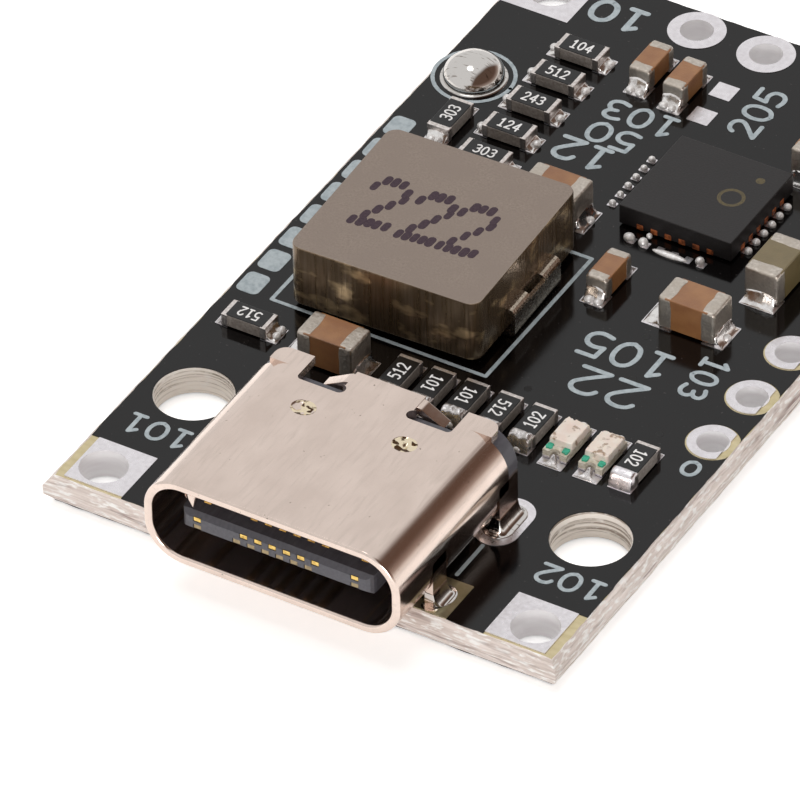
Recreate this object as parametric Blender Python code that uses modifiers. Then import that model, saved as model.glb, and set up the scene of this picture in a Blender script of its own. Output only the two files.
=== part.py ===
"""Lithium battery charger module: a scored circuit board with a reversible power socket,
a moulded power inductor, a square charger chip and small chip parts.

Every size is in millimetres. One empty, charger_module, turns them to metres.
The origin is at the middle of the board's underside, +X to the right as seen from the
socket, +Y from the socket to the battery end, +Z up. Places on the board are measured
from its centre line and from the front edge of its upper face.
"""

import math

import bmesh
import bpy
from mathutils import Matrix, Vector

METRES_PER_MM = 0.001
OVERCUT = 0.5
WELD_DISTANCE = 0.0001

# Circuit board, broken out of its panel along scored lines
BOARD_WIDTH = 18.05
BOARD_LENGTH = 30.26
BOARD_THICKNESS = 1.0
SCORE_INSET = 0.26
SCORE_DEPTH = 0.33
LAND_THICKNESS = 0.04
LAND_ROOT = 0.1
LAND_REACH = 0.34
SOLDER_FILM = 0.03
BARE_MARGIN = 0.3

# Mounting holes and the wire pads at the four corners
MOUNT_HOLE_DIAMETER = 2.55
MOUNT_HOLE_FROM_SIDE = 1.755
MOUNT_HOLE_Y = 5.4
FRONT_PAD_SIZE = 2.08
FRONT_PAD_FROM_SIDE = 1.365
FRONT_PAD_Y = 1.15
FRONT_PAD_HOLE = 1.6
FRONT_PAD_HOLE_FROM_SIDE = 1.175
FRONT_PAD_HOLE_Y = 1.05
BACK_PAD_SIZE = 2.5
BACK_PAD_FROM_SIDE = 1.265
BACK_PAD_FROM_END = 1.42
BACK_PAD_HOLE = 1.7

# Round wire eyelets along the right edge and the battery end
EDGE_EYELETS = 3
EDGE_EYELET_FROM_SIDE = 0.775
EDGE_EYELET_Y = 11.18
EDGE_EYELET_PITCH = 2.46
EDGE_EYELET_RING = 1.62
EDGE_EYELET_HOLE = 1.08
BACK_EYELETS = 2
BACK_EYELET_X = -2.45
BACK_EYELET_FROM_END = 0.98
BACK_EYELET_PITCH = 2.52
BACK_EYELET_RING = 1.9
BACK_EYELET_HOLE = 1.15
TEST_PADS = 2
TEST_PAD_SIZE = 0.75
TEST_PAD_X = -0.15
TEST_PAD_Y = 25.0
TEST_PAD_PITCH = 1.43

# Socket shell, one folded sheet of nickelled steel
SHELL_CENTRE_X = 0.03
SHELL_FRONT_Y = -1.73
SHELL_WIDTH = 8.94
SHELL_HEIGHT = 3.13
SHELL_RADIUS = 1.315
SHELL_WALL = 0.3
SHELL_LENGTH = 7.23
SHELL_LIFT = 0.05
SHELL_RIM_ROUND = 0.09
SIDE_WALL_LENGTH = 6.55
ROOF_STEP_BELOW_TOP = 0.28
NOTCH_INNER = 1.2
NOTCH_OUTER = 2.7
NOTCH_DEPTH = 1.15
NOTCH_ROUND = 0.16
RELIEF_WIDTH = 0.42
RELIEF_REACH = 0.12
TAB_WIDTH = 0.46
TAB_FROM_REAR = 0.1
TAB_LENGTH = 0.98
TAB_GAUGE = 0.27
TAB_ROOT = 0.3
TAB_BEND = 0.25
TAB_ANGLE = 30.0
SPUR_X = -2.74
SPUR_WIDTH = 0.3
SPUR_DEPTH = 0.41
SPUR_GAUGE = 0.2
SPUR_SETBACK = 0.03
STAKE_X = 1.77
STAKE_FROM_FRONT = 4.97
STAKE_LENGTH = 0.62
STAKE_WIDTH = 0.36
STAKE_DEPTH = 0.1
LEG_GAUGE = 0.3
LEG_DEPTH = 0.9
LEG_CLEARANCE = 0.15
LEG_ATTACH_HEIGHT = 1.75
LEG_WINDOW_INSET = 0.45
FRONT_LEG_Y = 0.66
FRONT_LEG_WIDTH = 0.8
REAR_LEG_Y = 4.8
REAR_LEG_WIDTH = 1.1
LEG_TIP_CHAMFER = 0.18
LEG_PAD_WIDTH = 1.44
REAR_PAD_LENGTH = 2.36
FRONT_PAD_LENGTH = 1.62

# Socket insulator with its tongue
INSULATOR_CLEARANCE = 0.04
BLOCK_FRONT = 5.95
BLOCK_REAR_INSET = 0.65
TONGUE_WIDTH = 6.69
TONGUE_THICKNESS = 0.7
TONGUE_SETBACK = 0.3
TONGUE_CORNER = 0.32
TONGUE_NOSE_LENGTH = 0.18
TONGUE_NOSE_DROP = 0.14
TONGUE_ROOT_THICKNESS = 1.2
TONGUE_ROOT_LENGTH = 0.9

# Socket contacts, four signal and four power strips in each row
CONTACT_WIDTH = 0.24
CONTACT_GAUGE = 0.14
CONTACT_PROUD = 0.02
CONTACT_CLEARANCE = 0.02
CONTACT_SETBACK = 0.02
CONTACT_TIP_LEVEL = 0.14
CONTACT_COVER_LENGTH = 0.45
CONTACT_RISE_LENGTH = 0.25
GROOVE_RUN_OUT = 0.1
CONTACT_PITCH = 0.5
ROW_STAGGER = 0.25
POWER_CONTACT_X = 1.25
GROUND_CONTACT_X = 2.75
POWER_TAIL_X = 2.4
GROUND_TAIL_X = 3.2
PAIRED_TAIL_OFFSET = 0.15
TAIL_REACH = 0.65
TAIL_BEHIND_BLOCK = 0.12
JOG_LENGTH = 0.55

# Power inductor, pressed from powder round its coil
INDUCTOR_X = -3.436
INDUCTOR_Y = 13.891
INDUCTOR_TURN = 1.8
INDUCTOR_WIDTH = 6.62
INDUCTOR_LENGTH = 6.64
INDUCTOR_TOP = 2.49
INDUCTOR_CORNER = 0.55
INDUCTOR_EDGE = 0.06
TERMINAL_WIDTH = 3.0
TERMINAL_GAUGE = 0.15
TERMINAL_BEND = 0.19
TERMINAL_PROUD = 0.34
TERMINAL_TOP = 1.12
TERMINAL_FOOT = 1.5
TERMINAL_ROOT = 0.35
TERMINAL_NOTCH_WIDTH = 0.95
TERMINAL_NOTCH_DEPTH = 0.22
TERMINAL_FIT = 0.03

# Charger chip, a square leadless package
CHIP_X = 2.25
CHIP_Y = 21.0
CHIP_SIZE = 4.0
CHIP_HEIGHT = 0.75
CHIP_EDGE = 0.04
CHIP_LEADS_A_SIDE = 6
CHIP_LEAD_PITCH = 0.5
CHIP_LEAD_WIDTH = 0.25
CHIP_LEAD_HEIGHT = 0.2
CHIP_LEAD_LENGTH = 0.4
CHIP_LEAD_PROUD = 0.03
CHIP_LEAD_DROP = 0.01
CHIP_LAND_REACH = 0.62
CHIP_LAND_WIDTH = 0.28
CHIP_DOT_DIAMETER = 0.36
CHIP_DOT_DEPTH = 0.03
CHIP_DOT_INSET = 0.72

# Chip parts: length, width, height and the length of an end cap
RESISTOR_LENGTH = 1.6
RESISTOR_WIDTH = 0.8
RESISTOR_HEIGHT = 0.45
RESISTOR_CAP = 0.22
RESISTOR_COAT = 0.03
CAPACITOR_LENGTH = 2.0
CAPACITOR_WIDTH = 1.22
CAPACITOR_HEIGHT = 1.22
CAPACITOR_CAP = 0.42
SMALL_CAPACITOR_LENGTH = 1.6
SMALL_CAPACITOR_WIDTH = 0.8
SMALL_CAPACITOR_HEIGHT = 0.8
SMALL_CAPACITOR_CAP = 0.33
CAP_PROUD = 0.03
CHIP_PART_EDGE = 0.05
LED_LENGTH = 1.6
LED_WIDTH = 0.85
LED_BASE_HEIGHT = 0.26
LED_HEIGHT = 0.6
LED_LENS_LENGTH = 1.15
LED_LENS_TAPER = 0.08

# Row of five resistors behind the socket, then two lamps and one more resistor
ROW_RESISTORS = 5
ROW_X = -1.78
ROW_Y = 8.92
ROW_PITCH = 1.195
ROW_LEDS = 2
ROW_LED_X = 4.22
ROW_LED_Y = 8.82
ROW_LED_PITCH = 1.25
ROW_END_X = 6.62
ROW_END_Y = 8.88
SIDE_RESISTOR_FROM_SIDE = 1.565
SIDE_RESISTOR_Y = 9.05

# Bank of resistors behind the inductor
BANK_RESISTORS = 5
BANK_X = -4.92
BANK_Y = 19.6
BANK_PITCH = 1.53
OUTER_RESISTOR_FROM_SIDE = 1.915
OUTER_RESISTOR_Y = 20.75

# Single capacitors: centre across the board, centre from its front edge
INPUT_CAPACITOR_X = -4.05
INPUT_CAPACITOR_Y = 8.85
SWITCH_CAPACITOR_X = -1.75
SWITCH_CAPACITOR_Y = 18.6
BOOST_CAPACITOR_X = 1.45
BOOST_CAPACITOR_Y = 16.25
OUTPUT_CAPACITOR_X = 4.8
OUTPUT_CAPACITOR_Y = 15.75
SUPPLY_CAPACITOR_X = 6.0
SUPPLY_CAPACITOR_Y = 18.75
END_CAPACITOR_X = 4.4
END_CAPACITOR_Y = 24.6
FILTER_CAPACITORS = 2
FILTER_CAPACITOR_X = -2.55
FILTER_CAPACITOR_Y = 26.0
FILTER_CAPACITOR_PITCH_X = 1.33
FILTER_CAPACITOR_PITCH_Y = -0.2

# Solder left on the left edge after a lead was snipped off
MOUND_FROM_SIDE = 1.315
MOUND_Y = 23.25
MOUND_DIAMETER = 2.0
MOUND_HEIGHT = 0.72
MOUND_STEPS = 28

# Colours of the finishes
SOLDER_MASK = (0.04, 0.035, 0.04)
NICKEL = (0.66, 0.57, 0.52)
BLACK_PLASTIC = (0.03, 0.03, 0.033)
GOLD = (0.78, 0.58, 0.25)
POWDER_IRON = (0.27, 0.23, 0.2)
TIN = (0.68, 0.66, 0.63)
CHIP_EPOXY = (0.035, 0.033, 0.03)
RESISTOR_BLACK = (0.02, 0.02, 0.022)
BROWN_CERAMIC = (0.36, 0.15, 0.06)
OLIVE_CERAMIC = (0.2, 0.16, 0.09)
CREAM_LENS = (0.72, 0.69, 0.6)

TOP_FRONT_Y = -(BOARD_LENGTH / 2 - SCORE_INSET)
TOP_LENGTH = BOARD_LENGTH - 2 * SCORE_INSET
TOP_HALF_WIDTH = BOARD_WIDTH / 2 - SCORE_INSET
MOUNT_HOLE_X = TOP_HALF_WIDTH - MOUNT_HOLE_FROM_SIDE
FRONT_PAD_X = TOP_HALF_WIDTH - FRONT_PAD_FROM_SIDE
FRONT_PAD_HOLE_X = TOP_HALF_WIDTH - FRONT_PAD_HOLE_FROM_SIDE
BACK_PAD_X = TOP_HALF_WIDTH - BACK_PAD_FROM_SIDE
EDGE_EYELET_X = TOP_HALF_WIDTH - EDGE_EYELET_FROM_SIDE
SIDE_RESISTOR_X = SIDE_RESISTOR_FROM_SIDE - TOP_HALF_WIDTH
OUTER_RESISTOR_X = OUTER_RESISTOR_FROM_SIDE - TOP_HALF_WIDTH
MOUND_X = MOUND_FROM_SIDE - TOP_HALF_WIDTH
SEAT_HEIGHT = LAND_THICKNESS + SOLDER_FILM
SHELL_TOP = SHELL_LIFT + SHELL_HEIGHT
SHELL_MIDDLE = SHELL_LIFT + SHELL_HEIGHT / 2
SHELL_REAR_Y = SHELL_FRONT_Y + SHELL_LENGTH
BLOCK_FRONT_Y = SHELL_FRONT_Y + BLOCK_FRONT
BLOCK_REAR_Y = SHELL_REAR_Y - BLOCK_REAR_INSET
TONGUE_TIP_Y = SHELL_FRONT_Y + TONGUE_SETBACK
TAIL_DROP_Y = BLOCK_REAR_Y + TAIL_BEHIND_BLOCK
LEG_X = SHELL_WIDTH / 2 - LEG_GAUGE / 2


def on_board(x, y, z=0.0):
    """Return a point from the centre line, the upper face's front edge and that face."""
    return Vector((x, TOP_FRONT_Y + y, BOARD_THICKNESS + z))


def clear_scene():
    """Remove every object that the scene starts with."""
    for thing in list(bpy.data.objects):
        bpy.data.objects.remove(thing, do_unlink=True)


def finish(name, colour, roughness, metallic=0.0):
    """Return a Principled material."""
    material = bpy.data.materials.new(name)
    material.use_nodes = True
    shader = material.node_tree.nodes["Principled BSDF"]
    shader.inputs["Base Color"].default_value = (*colour, 1.0)
    shader.inputs["Roughness"].default_value = roughness
    shader.inputs["Metallic"].default_value = metallic
    return material


def mesh_from(bm, name):
    """Turn a bmesh into a mesh whose faces point out."""
    bmesh.ops.recalc_face_normals(bm, faces=bm.faces)
    mesh = bpy.data.meshes.new(name)
    bm.to_mesh(mesh)
    bm.free()
    return mesh


def box(name, size, centre=(0.0, 0.0, 0.0), edge=0.0, segments=1):
    """Return a box with its edges taken off by edge."""
    bm = bmesh.new()
    bmesh.ops.create_cube(bm, size=1.0, matrix=Matrix.Diagonal((*size, 1.0)))
    if edge > 0.0:
        bmesh.ops.bevel(bm, geom=bm.edges[:], offset=edge, segments=segments,
                        profile=0.5, affect="EDGES")
    bmesh.ops.translate(bm, verts=bm.verts, vec=Vector(centre))
    return mesh_from(bm, name)


def rounded_block(name, size, corner, edge=0.0, segments=5):
    """Return a box with round upright corners and its upper and lower edges taken off."""
    bm = bmesh.new()
    bmesh.ops.create_cube(bm, size=1.0, matrix=Matrix.Diagonal((*size, 1.0)))
    upright = [e for e in bm.edges if abs(e.verts[0].co.z - e.verts[1].co.z) > size[2] / 2]
    bmesh.ops.bevel(bm, geom=upright, offset=corner, segments=segments,
                    profile=0.5, affect="EDGES")
    if edge > 0.0:
        flat = [e for e in bm.edges if abs(e.verts[0].co.z - e.verts[1].co.z) < size[2] / 2]
        bmesh.ops.bevel(bm, geom=flat, offset=edge, segments=1, profile=0.5, affect="EDGES")
    return mesh_from(bm, name)


def cylinder(name, diameter, height, centre, segments=32):
    """Return an upright cylinder."""
    bm = bmesh.new()
    bmesh.ops.create_cone(bm, cap_ends=True, segments=segments, radius1=diameter / 2,
                          radius2=diameter / 2, depth=height,
                          matrix=Matrix.Translation(Vector(centre)))
    return mesh_from(bm, name)


def arc(centre, radius, start, stop, steps):
    """Return the points of an arc, with its angles in degrees."""
    points = []
    for step in range(steps + 1):
        angle = math.radians(start + (stop - start) * step / steps)
        points.append((centre[0] + radius * math.cos(angle),
                       centre[1] + radius * math.sin(angle)))
    return points


def rounded_outline(width, height, radius, steps=7):
    """Return the points of an upright rectangle with round corners, round the origin."""
    across = width / 2 - radius
    up = height / 2 - radius
    points = []
    for quarter, (x, z) in enumerate(((across, up), (-across, up), (-across, -up), (across, -up))):
        points += arc((x, z), radius, 90 * quarter, 90 * quarter + 90, steps)
    return points


def plate(name, outline, thickness, centre=(0.0, 0.0, 0.0)):
    """Return a flat outline in X and Y, thickened along Z."""
    curve = bpy.data.curves.new(name, "CURVE")
    curve.dimensions = "2D"
    curve.fill_mode = "BOTH"
    curve.extrude = thickness / 2
    spline = curve.splines.new("POLY")
    spline.points.add(len(outline) - 1)
    for point, (x, y) in zip(spline.points, outline):
        point.co = (x, y, 0.0, 1.0)
    spline.use_cyclic_u = True
    holder = bpy.data.objects.new(name, curve)
    bpy.context.scene.collection.objects.link(holder)
    graph = bpy.context.evaluated_depsgraph_get()
    flat = bpy.data.meshes.new_from_object(holder.evaluated_get(graph))
    bpy.data.objects.remove(holder, do_unlink=True)
    bm = bmesh.new()
    bm.from_mesh(flat)
    bmesh.ops.remove_doubles(bm, verts=bm.verts, dist=WELD_DISTANCE)
    bmesh.ops.translate(bm, verts=bm.verts, vec=Vector(centre))
    return mesh_from(bm, name)


def moved(mesh, offset=(0.0, 0.0, 0.0), turn=0.0):
    """Return a copy of a mesh, turned about Z in degrees and then moved."""
    copy = mesh.copy()
    copy.transform(Matrix.Translation(Vector(offset)) @ Matrix.Rotation(math.radians(turn), 4, "Z"))
    return copy


def mirrored(mesh):
    """Return a copy of a mesh on the other side of the centre line."""
    bm = bmesh.new()
    bm.from_mesh(mesh)
    bmesh.ops.scale(bm, verts=bm.verts, vec=(-1.0, 1.0, 1.0))
    return mesh_from(bm, mesh.name)


def combined(base, tool, operation):
    """Return base with tool cut from it or added to it."""
    holders = []
    for mesh in (base, tool):
        holder = bpy.data.objects.new(mesh.name, mesh)
        bpy.context.scene.collection.objects.link(holder)
        holders.append(holder)
    cut = holders[0].modifiers.new(operation.lower(), "BOOLEAN")
    cut.operation = operation
    cut.solver = "EXACT"
    cut.object = holders[1]
    graph = bpy.context.evaluated_depsgraph_get()
    result = bpy.data.meshes.new_from_object(holders[0].evaluated_get(graph))
    for holder in holders:
        bpy.data.objects.remove(holder, do_unlink=True)
    return result


def strip(name, route, width, gauge):
    """Return a flat strip that follows a route, its width along X."""
    bm = bmesh.new()
    points = [Vector(point) for point in route]
    rings = []
    for index, point in enumerate(points):
        back = points[max(index - 1, 0)]
        ahead = points[min(index + 1, len(points) - 1)]
        before = (point - back).yz
        after = (ahead - point).yz
        before = before.normalized() if before.length > 0 else after.normalized()
        after = after.normalized() if after.length > 0 else before
        along = (before + after).normalized()
        reach = gauge / 2 / max(along.dot(after), 0.5)
        lift = Vector((0.0, -along.y, along.x)) * reach
        half = Vector((width / 2, 0.0, 0.0))
        corners = (point - half - lift, point + half - lift, point + half + lift, point - half + lift)
        rings.append([bm.verts.new(corner) for corner in corners])
    for first, second in zip(rings, rings[1:]):
        for side in range(4):
            bm.faces.new((first[side], first[(side + 1) % 4], second[(side + 1) % 4], second[side]))
    bm.faces.new(rings[0])
    bm.faces.new(rings[-1])
    return mesh_from(bm, name)


def stadium(name, width, length, height, centre):
    """Return an upright slot shape with round ends, its length along Y."""
    straight = (length - width) / 2
    outline = arc((0.0, straight), width / 2, 0, 180, 8) + arc((0.0, -straight), width / 2, 180, 360, 8)
    return plate(name, outline, height, centre)


def add_part(name, mesh, material, location=(0.0, 0.0, 0.0), turn=0.0, crease=35.0):
    """Place a mesh as a named part of the module."""
    if mesh.users == 0:
        mesh.name = name
        mesh.materials.clear()
        mesh.materials.append(material)
        mesh.shade_smooth()
        mesh.set_sharp_from_angle(angle=math.radians(crease))
    part = bpy.data.objects.new(name, mesh)
    part.location = location
    part.rotation_euler.z = math.radians(turn)
    part.parent = bpy.data.objects["charger_module"]
    bpy.data.collections["charger_module"].objects.link(part)
    return part


def row_places():
    """Return the name, place and turn of each resistor."""
    places = []
    for index in range(ROW_RESISTORS):
        places.append((f"resistor_row_{index + 1}", ROW_X + index * ROW_PITCH, ROW_Y, 90))
    places.append(("resistor_row_end", ROW_END_X, ROW_END_Y, 90))
    places.append(("resistor_side", SIDE_RESISTOR_X, SIDE_RESISTOR_Y, 0))
    for index in range(BANK_RESISTORS):
        places.append((f"resistor_bank_{index + 1}", BANK_X, BANK_Y + index * BANK_PITCH, 0))
    places.append(("resistor_outer", OUTER_RESISTOR_X, OUTER_RESISTOR_Y, 90))
    return places


def led_places():
    """Return the name, place and turn of each lamp."""
    return [(f"led_{index + 1}", ROW_LED_X + index * ROW_LED_PITCH, ROW_LED_Y, 90)
            for index in range(ROW_LEDS)]


def capacitor_places():
    """Return the name, place, turn and colour of each large capacitor."""
    return [("capacitor_input", INPUT_CAPACITOR_X, INPUT_CAPACITOR_Y, 0, "brown_ceramic"),
            ("capacitor_switch", SWITCH_CAPACITOR_X, SWITCH_CAPACITOR_Y, 0, "brown_ceramic"),
            ("capacitor_output", OUTPUT_CAPACITOR_X, OUTPUT_CAPACITOR_Y, 0, "brown_ceramic"),
            ("capacitor_supply", SUPPLY_CAPACITOR_X, SUPPLY_CAPACITOR_Y, 90, "olive_ceramic"),
            ("capacitor_end", END_CAPACITOR_X, END_CAPACITOR_Y, 90, "brown_ceramic")]


def small_capacitor_places():
    """Return the name, place and turn of each small capacitor."""
    places = [("capacitor_boost", BOOST_CAPACITOR_X, BOOST_CAPACITOR_Y, 90)]
    for index in range(FILTER_CAPACITORS):
        places.append((f"capacitor_filter_{index + 1}",
                       FILTER_CAPACITOR_X + index * FILTER_CAPACITOR_PITCH_X,
                       FILTER_CAPACITOR_Y + index * FILTER_CAPACITOR_PITCH_Y, 90))
    return places


def tail_places():
    """Return the row, the place on the tongue and the place of the tail of each contact."""
    half = CONTACT_PITCH / 2
    shift = ROW_STAGGER / 2
    upper = [(-3 * half, -5 * half), (-half, -half), (half, half), (3 * half, 5 * half)]
    lower = [(-3 * half, -7 * half), (-half, -3 * half), (half, 3 * half), (3 * half, 7 * half)]
    for side in (-1, 1):
        upper.append((side * POWER_CONTACT_X, side * (POWER_TAIL_X - PAIRED_TAIL_OFFSET)))
        lower.append((side * POWER_CONTACT_X, side * (POWER_TAIL_X + PAIRED_TAIL_OFFSET)))
    upper = [(tongue + shift, tail) for tongue, tail in upper]
    lower = [(tongue - shift, tail) for tongue, tail in lower]
    for side in (-1, 1):
        upper.append((side * GROUND_CONTACT_X, side * (GROUND_TAIL_X - PAIRED_TAIL_OFFSET)))
        lower.append((side * GROUND_CONTACT_X, side * (GROUND_TAIL_X + PAIRED_TAIL_OFFSET)))
    rows = [(1, tongue, tail) for tongue, tail in sorted(upper)]
    return rows + [(-1, tongue, tail) for tongue, tail in sorted(lower)]


def contact_route(row, tongue_x, tail_x, ahead=0.0):
    """Return the middle line of one contact, from the tongue's nose to its tail."""
    middle = on_board(SHELL_CENTRE_X, 0.0, SHELL_MIDDLE)
    flat = middle.z + row * (TONGUE_THICKNESS / 2 - CONTACT_GAUGE / 2 + CONTACT_PROUD)
    covered = middle.z + row * CONTACT_TIP_LEVEL
    tip = TONGUE_TIP_Y + CONTACT_SETBACK - ahead
    cover = TONGUE_TIP_Y + CONTACT_COVER_LENGTH
    foot = BOARD_THICKNESS + SEAT_HEIGHT + CONTACT_GAUGE / 2
    jog = BLOCK_FRONT_Y + CONTACT_CLEARANCE
    x_tongue = middle.x + tongue_x
    x_tail = middle.x + tail_x
    heights = ((x_tongue, tip, covered),
               (x_tongue, cover, covered),
               (x_tongue, cover + CONTACT_RISE_LENGTH, flat),
               (x_tongue, jog, flat),
               (x_tail, jog + JOG_LENGTH, flat),
               (x_tail, TAIL_DROP_Y, flat),
               (x_tail, TAIL_DROP_Y, foot),
               (x_tail, TAIL_DROP_Y + TAIL_REACH, foot))
    return [(x, TOP_FRONT_Y + y, z) for x, y, z in heights]


def land(width, length, x, y, turn=0.0):
    """Return one raised land, rooted in the board."""
    height = LAND_THICKNESS + LAND_ROOT
    flat = box("land", (width, length, height))
    return moved(flat, on_board(x, y, LAND_THICKNESS - height / 2), turn)


def end_lands(length, width, cap, x, y, turn):
    """Return the two lands under the ends of a chip part."""
    reach = cap + LAND_REACH
    offset = length / 2 - cap + reach / 2
    lands = []
    for side in (-1, 1):
        along = Matrix.Rotation(math.radians(turn), 2) @ Vector((side * offset, 0.0))
        lands.append(land(reach, width, x + along.x, y + along.y, turn))
    return lands


def chip_lands():
    """Return the lands on the four sides of the charger chip."""
    lands = []
    reach = CHIP_LEAD_LENGTH + CHIP_LAND_REACH
    out = CHIP_SIZE / 2 - CHIP_LEAD_LENGTH + reach / 2
    for quarter in range(4):
        spin = Matrix.Rotation(math.radians(90 * quarter), 2)
        for index in range(CHIP_LEADS_A_SIDE):
            across = (index - (CHIP_LEADS_A_SIDE - 1) / 2) * CHIP_LEAD_PITCH
            at = spin @ Vector((out, across))
            lands.append(land(reach, CHIP_LAND_WIDTH, CHIP_X + at.x, CHIP_Y + at.y, 90 * quarter))
    return lands


def round_land(diameter, x, y):
    """Return a round land, cut straight where it would come too near the board's side."""
    height = LAND_THICKNESS + LAND_ROOT
    disc = cylinder("ring", diameter, height, on_board(x, y, LAND_THICKNESS - height / 2))
    bm = bmesh.new()
    bm.from_mesh(disc)
    cut = bmesh.ops.bisect_plane(bm, geom=bm.verts[:] + bm.edges[:] + bm.faces[:],
                                 plane_co=(TOP_HALF_WIDTH - BARE_MARGIN, 0.0, 0.0),
                                 plane_no=(1.0, 0.0, 0.0), clear_outer=True)
    rim = [item for item in cut["geom_cut"] if isinstance(item, bmesh.types.BMEdge)]
    if rim:
        bmesh.ops.holes_fill(bm, edges=rim)
    return mesh_from(bm, "ring")


def hole(diameter, x, y):
    """Return the drill of one hole through the board."""
    height = BOARD_THICKNESS + 2 * OVERCUT
    return cylinder("drill", diameter, height, on_board(x, y, -BOARD_THICKNESS / 2))


def slot(width, length, x, y):
    """Return the router's path of one slot through the board."""
    height = BOARD_THICKNESS + 2 * OVERCUT
    return stadium("router", width, length, height, on_board(x, y, -BOARD_THICKNESS / 2))


def board_lands():
    """Return every raised land of the board."""
    lands = []
    for side in (-1, 1):
        lands.append(land(FRONT_PAD_SIZE, FRONT_PAD_SIZE, side * FRONT_PAD_X, FRONT_PAD_Y))
        lands.append(land(BACK_PAD_SIZE, BACK_PAD_SIZE, side * BACK_PAD_X,
                          TOP_LENGTH - BACK_PAD_FROM_END))
        leg_x = SHELL_CENTRE_X + side * LEG_X
        lands.append(land(LEG_PAD_WIDTH, FRONT_PAD_LENGTH, leg_x, FRONT_LEG_Y + SCORE_INSET))
        height = LAND_THICKNESS + LAND_ROOT
        lands.append(stadium("leg_land", LEG_PAD_WIDTH, REAR_PAD_LENGTH, height,
                             on_board(leg_x, REAR_LEG_Y, LAND_THICKNESS - height / 2)))
        foot = TERMINAL_FOOT + TERMINAL_PROUD
        across = side * (INDUCTOR_WIDTH / 2 - TERMINAL_FOOT + foot / 2)
        at = Matrix.Rotation(math.radians(INDUCTOR_TURN), 2) @ Vector((across, 0.0))
        lands.append(land(foot, TERMINAL_WIDTH, INDUCTOR_X + at.x, INDUCTOR_Y + at.y, INDUCTOR_TURN))
    for index in range(EDGE_EYELETS):
        lands.append(round_land(EDGE_EYELET_RING, EDGE_EYELET_X,
                                EDGE_EYELET_Y + index * EDGE_EYELET_PITCH))
    for index in range(BACK_EYELETS):
        lands.append(round_land(BACK_EYELET_RING, BACK_EYELET_X + index * BACK_EYELET_PITCH,
                                TOP_LENGTH - BACK_EYELET_FROM_END))
    for index in range(TEST_PADS):
        lands.append(land(TEST_PAD_SIZE, TEST_PAD_SIZE, TEST_PAD_X,
                          TEST_PAD_Y + index * TEST_PAD_PITCH))
    for _, x, y, turn in row_places():
        lands += end_lands(RESISTOR_LENGTH, RESISTOR_WIDTH, RESISTOR_CAP, x, y, turn)
    for _, x, y, turn in led_places():
        lands += end_lands(LED_LENGTH, LED_WIDTH, RESISTOR_CAP, x, y, turn)
    for _, x, y, turn, _ in capacitor_places():
        lands += end_lands(CAPACITOR_LENGTH, CAPACITOR_WIDTH, CAPACITOR_CAP, x, y, turn)
    for _, x, y, turn in small_capacitor_places():
        lands += end_lands(SMALL_CAPACITOR_LENGTH, SMALL_CAPACITOR_WIDTH, SMALL_CAPACITOR_CAP,
                           x, y, turn)
    for _, _, tail_x in tail_places():
        lands.append(land(CONTACT_WIDTH, TAIL_REACH + LAND_REACH, SHELL_CENTRE_X + tail_x,
                          TAIL_DROP_Y + (TAIL_REACH + LAND_REACH) / 2))
    return lands + chip_lands()


def board_cuts():
    """Return every hole and slot of the board."""
    cuts = []
    leg_slot = LEG_GAUGE + 2 * LEG_CLEARANCE
    for side in (-1, 1):
        cuts.append(hole(MOUNT_HOLE_DIAMETER, side * MOUNT_HOLE_X, MOUNT_HOLE_Y))
        cuts.append(hole(FRONT_PAD_HOLE, side * FRONT_PAD_HOLE_X, FRONT_PAD_HOLE_Y))
        cuts.append(hole(BACK_PAD_HOLE, side * BACK_PAD_X, TOP_LENGTH - BACK_PAD_FROM_END))
        leg_x = SHELL_CENTRE_X + side * LEG_X
        for leg_y, leg_width in ((FRONT_LEG_Y, FRONT_LEG_WIDTH), (REAR_LEG_Y, REAR_LEG_WIDTH)):
            cuts.append(slot(leg_slot, leg_width + leg_slot, leg_x, leg_y))
    for index in range(EDGE_EYELETS):
        cuts.append(hole(EDGE_EYELET_HOLE, EDGE_EYELET_X, EDGE_EYELET_Y + index * EDGE_EYELET_PITCH))
    for index in range(BACK_EYELETS):
        cuts.append(hole(BACK_EYELET_HOLE, BACK_EYELET_X + index * BACK_EYELET_PITCH,
                         TOP_LENGTH - BACK_EYELET_FROM_END))
    return cuts


def build_board(material):
    """Make the board: a web with both faces raised from it, its lands, holes and slots."""
    web = BOARD_THICKNESS - 2 * SCORE_DEPTH
    bm = bmesh.new()
    bmesh.ops.create_cube(bm, size=1.0, matrix=Matrix.Diagonal((BOARD_WIDTH, BOARD_LENGTH, web, 1.0)))
    bm.normal_update()
    for face in [face for face in bm.faces if abs(face.normal.z) > 0.5]:
        bmesh.ops.inset_region(bm, faces=[face], thickness=SCORE_INSET, depth=SCORE_DEPTH,
                               use_even_offset=True)
    bmesh.ops.translate(bm, verts=bm.verts, vec=(0.0, 0.0, BOARD_THICKNESS / 2))
    board = mesh_from(bm, "board")
    for raised in board_lands():
        board = combined(board, raised, "UNION")
    for cut in board_cuts():
        board = combined(board, cut, "DIFFERENCE")
    return add_part("board", board, material)


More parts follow.
